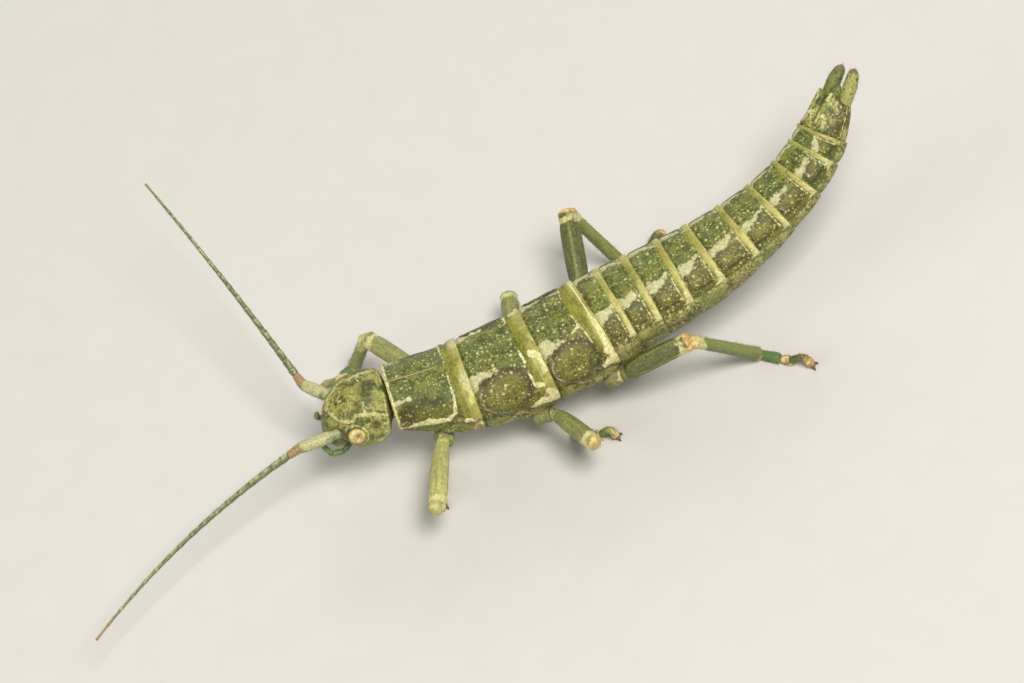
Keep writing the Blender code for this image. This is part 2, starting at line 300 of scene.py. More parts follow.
# %% Rows of the head
SIDES = 128
HEAD_SHARES = [0.00, 0.03, 0.10, 0.32, 0.55, 0.75, 0.88, 0.96, 1.01, 1.03]
HEAD_WIDTH = [1.02, 1.14, 1.26, 1.34, 1.23, 0.99, 0.77, 0.56, 0.34, 0.02]
HEAD_TOP = [0.84, 0.93, 1.01, 1.05, 0.94, 0.71, 0.46, 0.22, 0.00, -0.22]
HEAD_DEPTH = [0.80, 0.90, 0.99, 1.13, 1.17, 0.98, 0.83, 0.72, 0.56, 0.26]
HEAD_LEVEL = [0.0, 0.0, 0.0, 0.0, 0.0, 0.0, -0.06, -0.14, -0.22, -0.24]  # height of its widest part
HEAD_STEP = 0.035
rows = []                 # centre, left, up, half width, height, depth, ring, place on the ring


def add_row(centre, left, up, width, top, depth, ring, x):
    """Note one row of the tube."""
    rows.append((*centre, *left, *up, width, top, depth, ring, x))


_, head_left, head_up = HEAD_FRAME
tip = HEAD_SHARES[-1] * HEAD_LENGTH
add_row(head_point(tip, 0, HEAD_LEVEL[-1]), head_left, head_up, 0, 0, 0, -1, tip)
for share in np.arange(HEAD_SHARES[-1], 0, -HEAD_STEP / HEAD_LENGTH):
    width, top, depth, level = (float(curve(share, HEAD_SHARES, table))
                                for table in (HEAD_WIDTH, HEAD_TOP, HEAD_DEPTH, HEAD_LEVEL))
    add_row(head_point(share * HEAD_LENGTH, 0, level), head_left, head_up,
            width, top - level, depth + level, -1, share * HEAD_LENGTH)
head_rows = len(rows)

# %% Rows of the neck
for ahead, growth in ((0.0, 0.97), (-0.02, 0.88), (-0.05, 0.76), (-0.09, 0.70), (-0.13, 0.68)):
    add_row(head_point(ahead, 0, 0), head_left, head_up,
            HEAD_WIDTH[0] * growth, HEAD_TOP[0] * growth, HEAD_DEPTH[0] * growth, -2, 0)
centre, (_, left, up) = station(0.0)
for growth in (0.60, 0.78, 0.90):
    width = HALF_WIDTH[0] * growth
    add_row(centre, left, up, width, width * BACK_RATIO, width * BELLY_RATIO[0], -2, 0)

# %% Rows of the trunk
# The raised band at each ring's hind edge.
BAND_WIDTHS = [0.62, 0.60, 0.62] + [0.29] * 4 + [0.27, 0.26, 0.24, 0.22, 0.13, 0.0]
FIELD_STEP = 0.065        # millimetres from one row to the next
SKIN_SHARE = 0.965        # the skin lies this far inside the solids


def ring_places(length, band):
    """Places along one ring in millimetres, closer together at its edges and on its band."""
    field_end = length - band - 0.06
    count = max(3, round((field_end - 0.08) / FIELD_STEP))
    places = [0.012, 0.03, 0.05, *np.linspace(0.08, field_end, count), field_end + 0.025]
    if band:
        places += [*np.linspace(length - band - 0.015, length - 0.06, max(4, round(band / 0.045)))]
        places += [length - 0.035, length - 0.018, length - 0.004]
    return places


for ring, (length, band) in enumerate(zip(RING_LENGTHS, BAND_WIDTHS)):
    shown = length * TAIL_SHARE if ring == LAST else length
    for x in ring_places(shown, band):
        at = ring + x / length
        centre, (_, left, up) = station(at)
        width = blend(HALF_WIDTH, at) * SKIN_SHARE
        add_row(centre, left, up, width, width * BACK_RATIO, width * blend(BELLY_RATIO, at), ring, x)
centre, (tail, left, up) = station(LAST + TAIL_SHARE)
for sink, growth in ((0.0, 1.0), (-0.03, 0.9), (-0.06, 0.7), (-0.06, 0.4), (-0.06, 0.0)):
    width = blend(HALF_WIDTH, LAST + TAIL_SHARE) * SKIN_SHARE * growth
    add_row(centre + tail * sink, left, up, width, width * BACK_RATIO, width * BELLY_RATIO[-1], LAST + 1, 0)
print("rows:", head_rows, "for the head,", len(rows), "in all")

# %% The smooth tube, before its relief
table = np.array(rows)
ROW_CENTRE, ROW_LEFT, ROW_UP = table[:, 0:3], table[:, 3:6], table[:, 6:9]
RING = table[:, 12]
X = table[:, 13:14]
ANGLE = np.linspace(0, 2 * np.pi, SIDES + 1)[None, :]  # from the top towards the left


def squared(value):
    """Push a sine or cosine outwards, towards a box, but draw it in a little on top of the head."""
    crown = (RING[:, None] < 0) & (np.cos(ANGLE) > 0)
    return np.sign(value) * np.abs(value) ** np.where(crown, HEAD_ROUNDNESS, SQUARENESS)


across, rise = squared(np.sin(ANGLE)), squared(np.cos(ANGLE))
height = np.where(rise > 0, table[:, 10:11], table[:, 11:12])
tube = (ROW_CENTRE[:, None] + ROW_LEFT[:, None] * (table[:, 9:10] * across)[..., None]
        + ROW_UP[:, None] * (height * rise)[..., None])
OUT = outwards(tube)

# %% [markdown]
# ## Distances over the skin
# The markings are laid out in millimetres: x back from the front edge of a ring, and s down
# from the middle of the back, the same on both sides. The back's middle isn't quite on top,
# because the insect holds its head tilted to one side and its trunk a little to the other.

# %% Millimetres from the middle of the back
# How far the middle line lies towards the left, for the head and at each margin of the trunk.
HEAD_MIDDLE = ([0.0, 0.15, 0.5, 2.3], [0.0, 0.0, 0.19, 0.19])
TRUNK_MIDDLE = [0.03, -0.15] + [-0.17] * 8 + [-0.18, -0.20, -0.22, -0.22]
FRONT = HEAD_SHARES[-1] * HEAD_LENGTH
middle = np.zeros((len(rows), 1))
for i, (ring, x) in enumerate(zip(RING, X[:, 0])):
    if ring == -1:
        middle[i] = curve(FRONT - x, *HEAD_MIDDLE)
    elif ring == -2:
        middle[i] = 0.1
    else:
        middle[i] = blend(TRUNK_MIDDLE, ring + x / RING_LENGTHS[int(ring)] if ring <= LAST else LAST + 1)
steps = np.linalg.norm(np.diff(tube, axis=1), axis=2)
girth = np.concatenate([np.zeros((len(rows), 1)), np.cumsum(steps, 1)], 1)
whole = np.maximum(girth[:, -1:], 1e-6)
away = np.abs(girth - middle % whole)
S = np.minimum(away, whole - away)
print("longest way round, in mm:", round(float(whole.max()), 2))


# %% Signed depths
def streak(x, s, start, end, start_half, end_half):
    """Depth inside a tapering streak between two places, negative outside it."""
    dx, ds = end[0] - start[0], end[1] - start[1]
    share = np.clip(((x - start[0]) * dx + (s - start[1]) * ds) / (dx * dx + ds * ds), 0, 1)
    gap = np.hypot(x - start[0] - share * dx, s - start[1] - share * ds)
    return start_half + (end_half - start_half) * share - gap


def spot(x, s, centre, half):
    """Depth inside an oval spot."""
    far = np.hypot((x - centre[0]) / half[0], (s - centre[1]) / half[1])
    return (1 - far) * min(half)


def panel(x, s, xs, ss, corner):
    """Depth inside a rectangle with round corners."""
    dx = np.abs(x - (xs[0] + xs[1]) / 2) - (xs[1] - xs[0]) / 2 + corner
    ds = np.abs(s - (ss[0] + ss[1]) / 2) - (ss[1] - ss[0]) / 2 + corner
    return corner - np.hypot(np.maximum(dx, 0), np.maximum(ds, 0)) - np.minimum(np.maximum(dx, ds), 0)


def most(*depths):
    """Depth inside any of several shapes."""
    return np.maximum.reduce(np.broadcast_arrays(*depths))


def streaks(x, s, *runs):
    """Depth inside any of several streaks: x and s of both ends, then the two half widths."""
    return most(*(streak(x, s, run[0:2], run[2:4], *run[4:]) for run in runs))


def spots(x, s, *ovals):
    """Depth inside any of several spots: x and s of the middle, then the two half sizes."""
    return most(*(spot(x, s, oval[:2], oval[2:]) for oval in ovals))


# %% [markdown]
# ## Relief and markings
# Every ring of an insect's trunk is a plate that overlaps the next: a field, then a raised band
# at its hind edge, and a fold of softer skin along each side. Relief is worked out in
# millimetres, and pushes each point out or in. Markings are signed depths, which stay
# sharp on a coarse mesh, because a finish can find the edge between two points.

# %% Sheets of numbers for the whole tube
MARKS = ["band", "hind", "white", "cream", "dark", "buff", "furrow", "below", "green", "side", "rim", "brown",
         "tone", "bare", "spine", "middle"]
OUTSIDE = -1.0
marks = {mark: np.full(S.shape, OUTSIDE) for mark in MARKS}
marks["side"] = S
marks["middle"] = (girth - middle + whole / 2) % whole - whole / 2  # like s, but negative on the right
marks["hind"][:] = 1.0
# How bright the cream is, and then 1 where dots are few.
marks["tone"][:] = np.interp(RING[:, None] + X / 3, (-0.1, 0.1, 3, 3.4), (0, 1, 1, 0.55))
marks["bare"][:] = RING[:, None] < 0
relief = np.zeros(S.shape)
# How far down each ring its side edge lies, in front and behind.
EDGES = [(2.02, 2.42), (2.58, 3.15), (2.68, 2.95), (2.16, 2.16), (2.12, 2.12), (2.07, 2.06), (1.99, 1.95),
         (1.88, 1.84), (1.75, 1.70), (1.62, 1.55), (1.47, 1.42), (1.36, 1.32), (1.28, 1.15)]


def shade_ring(ring, pushed, found):
    """Store one ring's relief and marks."""
    sel = RING == ring
    relief[sel] = pushed
    for mark, depth in found.items():
        marks[mark][sel] = depth


def overlap(x, y, band, back):
    """The step out from under the ring before, and a band that rises gently to a thin hind edge."""
    raised = smooth(1.2 * band - y, 0.0, 1.1 * band) * smooth(y, -0.03, 0.04)
    groove = bump(y - band - 0.03, 0.05)
    step_out = 0.045 * (1 - smooth(x, 0, 0.11))
    return back * (0.046 * raised - 0.010 * groove) - step_out - 0.028 * bump(y, 0.012)


def soft_side(x, below, length, fold):
    """Folds of the soft skin under a plate's side edge."""
    pleat = 0.05 * smooth(below, 0.03, 0.25) * (1 - smooth(below, fold - 0.2, fold))
    creases = 0.045 * bump(below - 0.04, 0.05) + 0.03 * bump(below - fold, 0.06)
    return pleat * (0.5 + 0.5 * smooth(x / length, 0, 0.8)) - creases


# %% Rings of the abdomen
for ring in range(THORAX, LAST):
    sel = RING == ring
    x, s, length, band = X[sel], S[sel], RING_LENGTHS[ring], BAND_WIDTHS[ring]
    y = length - x
    edge = np.interp(x / length, (0, 1), EDGES[ring])
    below = s - edge
    low = edge.mean()
    front = length - band                               # where the band begins
    wide = blend(HALF_WIDTH, ring + 0.5)
    back = 1 - smooth(below, -0.05, 0.05)
    side_patch = panel(x, s, (0.04, front - 0.05), (0.68 * wide, EDGES[ring][0] - 0.20), 0.18)
    blotch = streaks(
        x, s, (-0.05, 0.60 * wide, 0.45 * length, 0.54 * wide, 0.14 * wide, 0.075 * wide),
        (0.45 * length, 0.53 * wide, 0.78 * length, 0.40 * wide, 0.055 * wide, 0.015 * wide),
    )
    trail = streaks(x, s, (front - 0.035, 0.45 * wide, front - 0.035, low - 0.25, 0.010, 0.018))
    knob = OUTSIDE
    if band > 0.2:
        knob = streaks(
            x, s, (length - 0.14, low - 0.48, length - 0.08, low - 0.10, 0.05, 0.15),
            (length - 0.36, low - 0.05, length - 0.06, low - 0.10, 0.03, 0.10),
        )
    slants = 0.16 * np.sin(2 * np.pi * (s - low + 0.10) / 0.19 + 1.2 * x) - 0.02
    slants = np.where(s > 1.02 * wide, np.minimum(side_patch * 2, slants), 0.02 - np.abs(side_patch - 0.02) * 2)
    pushed = (overlap(x, y, band, back) + 0.022 * np.sin(np.pi * x / length)
              + soft_side(x, below, length, 0.62) + 0.035 * smooth(knob, -0.05, 0.08)
              - 0.02 * bump(side_patch, 0.05) * back - 0.025 * smooth(below, 0.6, 0.8) * bump(x, 0.05))
    shade_ring(ring, pushed, {
        "band": np.minimum(np.minimum(band - y, y + 0.02), -below),
        "hind": y,
        "below": below,
        "white": blotch,
        "dark": side_patch,
        "cream": most(knob, trail),
        "brown": slants,
        "furrow": streaks(x, s, (front + 0.02, 0.9 * wide, front + 0.02, low - 0.3, 0.012, 0.012)),
    })

# %% The last ring
sel = RING == LAST
x, s = X[sel], S[sel]
front_edge, hind_edge = EDGES[LAST]
below = s - np.interp(x, (0, 1.3), EDGES[LAST])
pushed = (
    -0.06 * (1 - smooth(x, 0, 0.09)) + soft_side(x, below, 1.3, 0.5)
    - 0.09 * bump(s, 0.06) * smooth(x, 0.15, 0.5) + 0.045 * bump(s - 0.38, 0.20) * smooth(x, 0.3, 0.9)
    - 0.03 * bump(s - 0.72, 0.06) * smooth(x, 0.3, 0.8)
)
shade_ring(LAST, pushed, {
    "below": below,
    "hind": 1.0,
    "white": streaks(x, s, (0.22, 0.46, 0.75, 0.42, 0.075, 0.03), (0.85, 0.74, 1.15, 0.58, 0.02, 0.06)) - 0.01,
    "cream": most(
        spots(x, s, (0.62, 0.30, 0.10, 0.08)),
        streaks(x, s, (0.40, 0.16, 0.70, 0.14, 0.03, 0.02), (1.05, 0.20, 1.25, 0.32, 0.02, 0.05),
                (0.0, front_edge - 0.05, 1.2, hind_edge - 0.1, 0.01, 0.02)),
    ),
    "furrow": streaks(x, s, (0.35, 0.0, 1.3, 0.0, 0.010, 0.03)),
    "brown": most(spots(x, s, (0.65, 0.90, 0.5, 0.18)), streaks(x, s, (0.9, 0.12, 1.3, 0.08, 0.03, 0.06))),
    "green": most(-0.01, spots(x, s, (0.6, 0.2, 0.35, 0.25), (1.1, 0.35, 0.25, 0.25))),
})
tail_end = np.interp(X[:, 0], (0.7, 1.28), (0, 1)) ** 2 * (RING == LAST) + (RING == LAST + 1)
lobes = 0.20 * bump(S - 0.30, 0.20) - 0.06 * bump(S, 0.10) - 0.10 * smooth(S, 0.60, 0.95)

# %% [markdown]
# ## The three rings of the thorax
# The first carries a flat shield with a pale rim and a line down its middle. The other two bear
# an oval patch on each side, and end in a wide band whose corners flare over the hips.

# %% The sides of the thorax
def side_plates(x, below, length):
    """Relief under a thoracic plate: a deep edge, two swollen side plates, and fine wrinkles."""
    seam = x - length * (0.62 - 0.22 * below)
    swell = 0.09 * (1 - bump(seam, 0.09)) * smooth(below, 0.12, 0.34) * (1 - smooth(below, 0.75, 1.15))
    ends = smooth(x, 0.05, 0.30) * smooth(length - x, 0.05, 0.30)
    wrinkles = 0.026 * np.sin(24 * below + 5 * np.sin(3.1 * x)) * np.cos(6 * x + 7 * below)
    shown = smooth(below, 0.05, 0.15) * (1 - 0.75 * smooth(below, 0.5, 0.9))
    hip = 0.08 * bump(np.hypot(x - 0.62 * length, 0.8 * (below - 1.15)) - 0.42, 0.13)
    edge = 0.15 * smooth(below, 0.0, 0.07)
    return (swell * ends + wrinkles * shown + hip * smooth(below, 0.4, 0.6) - edge
            + 0.06 * smooth(below, 0.9, 1.3))


# %% The shield behind the head
sel = RING == 0
x, s, length = X[sel], S[sel], RING_LENGTHS[0]
y = length - x
below = s - curve(x, (0.0, 1.5, 2.2, 2.82), (2.02, 2.22, 2.45, 2.50))
back = 1 - smooth(below, -0.05, 0.04)
field = panel(x, s, (0.16, 2.06), (-2.0, 1.90), 0.25)
rim = streaks(
    x, s, (0.30, 1.96, 1.05, 1.93, 0.03, 0.16), (1.05, 1.97, 1.70, 2.06, 0.14, 0.08),
    (1.70, 2.06, 1.98, 1.85, 0.07, 0.055), (1.98, 1.85, 2.11, 1.30, 0.055, 0.05),
    (2.11, 1.30, 2.15, 0.40, 0.05, 0.02), (0.05, 0.0, 0.05, 1.9, 0.060, 0.045),
    (0.05, 1.9, 0.3, 1.99, 0.04, 0.03),
)
fold = streaks(x, s, (2.30, 2.35, 2.55, 2.52, 0.13, 0.13))
boss = spots(x, s, (2.60, 2.86, 0.20, 0.22))
wavering = s + 0.09 * np.sin(7.3 * x) + 0.05 * np.sin(17 * x + 1)
creases = streaks(
    x, wavering, (0.62, 0.95, 1.20, 1.22, 0.02, 0.03), (1.20, 1.22, 1.85, 1.12, 0.03, 0.02),
    (0.62, 0.95, 0.55, 1.70, 0.03, 0.02),
)
groove = streaks(x, s, (2.34, 0.0, 2.34, 2.0, 0.02, 0.02))
ridges = (0.030 * smooth(x, 2.06, 2.16) * (1 - smooth(x, 2.24, 2.36))
          + 0.045 * smooth(x, 2.36, 2.56) * smooth(y, -0.03, 0.06))
pushed = (
    ridges * back + 0.05 * bump(x - 0.08, 0.06) * back + 0.035 * smooth(rim, -0.06, 0.06) * (s > 1.2)
    - 0.03 * bump(field, 0.04) * back
    - 0.02 * bump(s, 0.025) * smooth(x, 0.1, 0.2) * (1 - smooth(x, 1.9, 2.05))
    - 0.035 * smooth(creases, -0.07, 0.02) - 0.03 * smooth(groove, -0.04, 0.02) - 0.06 * bump(y, 0.012)
    + 0.04 * smooth(fold, -0.04, 0.08) + 0.12 * smooth(boss, -0.03, 0.06) - 0.05 * smooth(boss, 0.10, 0.16)
    + 0.018 * np.sin(7 * s + 1) * np.sin(4 * x) * smooth(field, 0, 0.2) + side_plates(x, below, length)
)
shade_ring(0, pushed, {
    "band": np.minimum(np.minimum(x - 2.20, y + 0.02), -below),
    "hind": y,
    "below": below,
    "cream": most(rim, fold, 0.035 - np.abs(boss - 0.05)),
    "white": most(streaks(x, s, (0.0, 0.92, 0.62, 0.90, 0.09, 0.04)), spots(x, s, (2.68, 0.9, 0.12, 0.35))),
    "brown": most(
        spots(x, s, (0.45, 1.45, 0.36, 0.42)), spots(x, wavering, (1.2, 1.2, 0.75, 0.20)), creases + 0.03,
    ) - 0.03,
    "buff": most(spots(x, s, (2.05, 2.22, 0.12, 0.10), (2.5, 2.62, 0.12, 0.14)), boss - 0.09),
    "spine": np.minimum(x - 0.05, 1.95 - x),
    "furrow": most(creases - 0.02, groove - 0.012),
})


# %% The two rings behind it
def wing_ring(ring, oval, wedge, corner, flecks, freckles, band_front):
    """A thoracic ring with an oval patch on each side, and a wide band with flared corners.

    The band's front edge is given as its x on the back, and how fast it slants down the side.
    """
    sel = RING == ring
    x, s, length = X[sel], S[sel], RING_LENGTHS[ring]
    y = length - x
    below = s - np.interp(x / length, (0, 1), EDGES[ring])
    back = 1 - smooth(below, -0.05, 0.05)
    patch = spots(x, s, oval)
    start = band_front[0] + band_front[1] * s
    flare = streaks(x, s, *corner)
    low_front = (s - oval[1]) - 0.9 * (x - oval[0])
    raised = smooth(x - start, -0.02, 0.22) * smooth(y, -0.03, 0.05)
    pushed = (
        0.034 * raised * back - 0.015 * bump(x - start + 0.03, 0.035) * back
        - 0.010 * bump(y - 0.24, 0.06) * back - 0.07 * (1 - smooth(x, 0, 0.09)) - 0.06 * bump(y, 0.012)
        + 0.055 * smooth(patch, -0.02, 0.30) + 0.035 * bump(patch - 0.03, 0.035)
        - 0.045 * bump(patch + 0.06, 0.05) + 0.07 * smooth(flare, -0.06, 0.12)
        + 0.03 * bump(below + 0.06, 0.07) + 0.008 * np.sin(9 * s) * np.sin(6 * x) * back
        + side_plates(x, below, length)
    )
    shade_ring(ring, pushed, {
        "band": np.minimum(np.minimum(x - start, y + 0.02), -below),
        "hind": y,
        "below": below,
        "white": streaks(x, s, *wedge),
        "cream": most(flare, streaks(x, s, *flecks)),
        "dark": patch,
        # The rim is raised in the relief. Its pale grey, along the lower side of the oval only, is a painted
        # highlight for the shine on that edge.
        "rim": np.minimum(0.032 - np.abs(patch - 0.04), low_front - 0.15),
        "brown": np.minimum(0.13 - np.abs(patch - 0.02), 0.10 - low_front) - 0.03,
        "buff": spots(x, s, *freckles),
        "furrow": streaks(x, s, (start.min() - 0.02, 0.3, start.min() + 0.1, 1.6, 0.008, 0.012)),
    })


wing_ring(
    1, (0.97, 1.86, 0.88, 0.80),
    [(0.0, 1.12, 0.15, 1.07, 0.32, 0.20), (0.10, 1.02, 0.90, 1.05, 0.20, 0.05)],
    [(1.62, 2.90, 2.36, 2.80, 0.10, 0.28), (2.30, 2.5, 2.42, 2.9, 0.14, 0.12)],
    [(1.88, 0.70, 1.92, 1.20, 0.03, 0.05), (1.88, 1.45, 1.94, 2.15, 0.03, 0.05),
     (2.22, 1.00, 2.45, 1.22, 0.13, 0.11), (2.42, 1.30, 2.48, 1.75, 0.05, 0.05),
     (2.05, 2.12, 2.18, 2.18, 0.10, 0.10)],
    [(2.15, 2.62, 0.10, 0.08), (1.85, 2.35, 0.08, 0.05)], (1.95, 0.0),
)
wing_ring(
    2, (0.87, 2.02, 0.80, 0.77),
    [(0.0, 1.14, 0.12, 1.12, 0.36, 0.25), (0.05, 0.98, 0.75, 1.15, 0.18, 0.07)],
    [(1.62, 2.72, 2.02, 2.55, 0.08, 0.25), (1.95, 2.15, 2.08, 2.6, 0.16, 0.14)],
    [(1.15, 1.02, 1.48, 0.92, 0.04, 0.06), (2.05, 0.0, 2.10, 2.3, 0.03, 0.06),
     (2.05, 0.95, 2.05, 2.0, 0.06, 0.10), (1.40, 0.30, 1.62, 1.65, 0.02, 0.03)],
    [(1.85, 2.32, 0.10, 0.08)], (1.36, 0.17),
)

# %% [markdown]
# ## The head
# Distances to the sockets of the eyes and feelers shape the face, so both sides come out alike.

# %% Relief and markings of the head
sel = RING == -1
x, s, head_tube = FRONT - X[sel], S[sel], tube[sel]


def distance(ahead, aside, above):
    """How far each point of the head is from a place, on whichever side is nearer."""
    pair = [np.array(head_point(ahead, side * aside, above)) for side in (1, -1)]
    return np.minimum(*(np.linalg.norm(head_tube - place, axis=2) for place in pair))


def path(*knots):
    """Depth inside a bent streak through knots, each an x, an s and a half width."""
    return streaks(x, s, *((*a[:2], *b[:2], a[2], b[2]) for a, b in zip(knots, knots[1:])))


from_eye = distance(EYE_AHEAD, EYE_ASIDE, EYE_ABOVE)
from_feeler = distance(*FEELER_SOCKET)
ridge = path(
    (0.15, 0.0, 0.045), (0.20, 0.22, 0.045), (0.30, 0.44, 0.045), (0.46, 0.62, 0.045), (0.62, 0.76, 0.045),
    (0.80, 0.88, 0.04), (0.92, 0.92, 0.03),
)
pits = spots(x, s, (0.16, 0.17, 0.05, 0.05))
pushed = (
    0.13 * bump(distance(1.20, 0.98, -0.66), 0.42) + 0.09 * bump(distance(2.10, 0.0, -0.35), 0.45)
    + 0.09 * bump(distance(0.62, 1.15, -0.50), 0.50) + 0.045 * smooth(ridge, -0.05, 0.04)
    - 0.04 * smooth(pits, -0.03, 0.02) - 0.10 * bump(from_feeler, 0.30)
    + 0.03 * bump(from_feeler - 0.37, 0.06) + 0.035 * bump(from_eye - 0.345, 0.04)
    - 0.06 * (1 - smooth(from_eye, 0.2, 0.31)) - 0.02 * bump(s, 0.03) * smooth(x, 0.9, 1.2)
    - 0.02 * bump(s - 0.45 * (1.25 - x), 0.03) * smooth(x, 0.6, 0.7) * (1 - smooth(x, 1.1, 1.25))
    + 0.03 * smooth(streaks(x, s, (2.0, 1.2, 1.75, 2.05, 0.08, 0.10)), -0.08, 0.05)
    - 0.02 * bump(s - 1.05 - 0.3 * (x - 1), 0.05) * smooth(x, 1.05, 1.3)
    - 0.05 * (1 - smooth(X[sel], 0.0, 0.08))
)
shade_ring(-1, pushed, {
    "cream": most(
        ridge, path((1.0, 0.77, 0.05), (1.4, 0.87, 0.08), (1.97, 0.97, 0.05)),
        path((1.40, 0.87, 0.05), (1.30, 0.62, 0.03), (1.36, 0.40, 0.015)),
        streaks(x, s, (2.09, 0.2, 2.07, 1.7, 0.028, 0.045), (0.92, 0.92, 1.02, 0.79, 0.025, 0.04)),
        spots(x, s, (0.58, 0.0, 0.07, 0.05)), 0.020 - np.abs(from_eye - 0.40),
    ),
    "white": path((2.0, 1.3, 0.04), (1.95, 1.75, 0.07), (1.72, 2.0, 0.05)) - 0.01,
    "brown": spots(
        x, s, (1.12, 0.42, 0.13, 0.10), (1.34, 0.06, 0.13, 0.10), (1.52, 0.22, 0.25, 0.10),
        (1.18, 0.50, 0.09, 0.14), (0.98, 1.02, 0.06, 0.12), (1.66, 1.28, 0.18, 0.17),
        (1.40, 1.78, 0.13, 0.17), (1.80, 1.84, 0.12, 0.14), (1.62, 0.38, 0.22, 0.07),
        (0.52, 0.30, 0.07, 0.05), (0.80, 0.62, 0.10, 0.06), (1.05, 1.50, 0.10, 0.16),
    ) - 0.005,
    "hind": 1.0,
    "below": s - 2.25,
    "buff": most(pits, path((0.25, 0.55, 0.02), (0.45, 0.72, 0.03), (0.66, 0.90, 0.03), (0.75, 1.10, 0.02))),
    "green": most(
        -0.09, streaks(x, s, (2.0, 0.2, 1.95, 1.7, 0.08, 0.10)),
        spots(x, s, (1.45, 1.38, 0.24, 0.20), (0.50, 0.35, 0.42, 0.34), (1.65, 0.64, 0.35, 0.20),
              (0.95, 0.25, 0.55, 0.24), (1.75, 1.40, 0.30, 0.45), (0.35, 1.0, 0.25, 0.3),
              (1.2, 1.95, 0.55, 0.35)),
    ) + 0.04,
    "furrow": 0.006 - np.abs(from_eye - 0.325),
})
for ring in (-2, LAST + 1):
    shade_ring(ring, -0.02, {"below": 0.3})
tail = np.array(station(LAST + TAIL_SHARE)[1][0])
skin_points = tube + OUT * relief[..., None] + tail * (tail_end[:, None] * lobes)[..., None]
print("relief from", round(float(relief.min()), 3), "to", round(float(relief.max()), 3), "mm")

# %% [markdown]
# ## Finishes in layers
# A finish is a chain of mixes: noise mottles the ground colour, cells scatter pale dots, and a
# mark, ragged with a little noise, lays one colour over another where its depth is above zero.
# The same noise raises a fine bump.


# %% A layered finish
WOBBLE, WOBBLE_SIZE = 0.05, 0.07  # how far noise pushes the edge of a dot, and the noise's size
NOISE_RANGE = (0.3, 0.7)  # noise seldom leaves this range


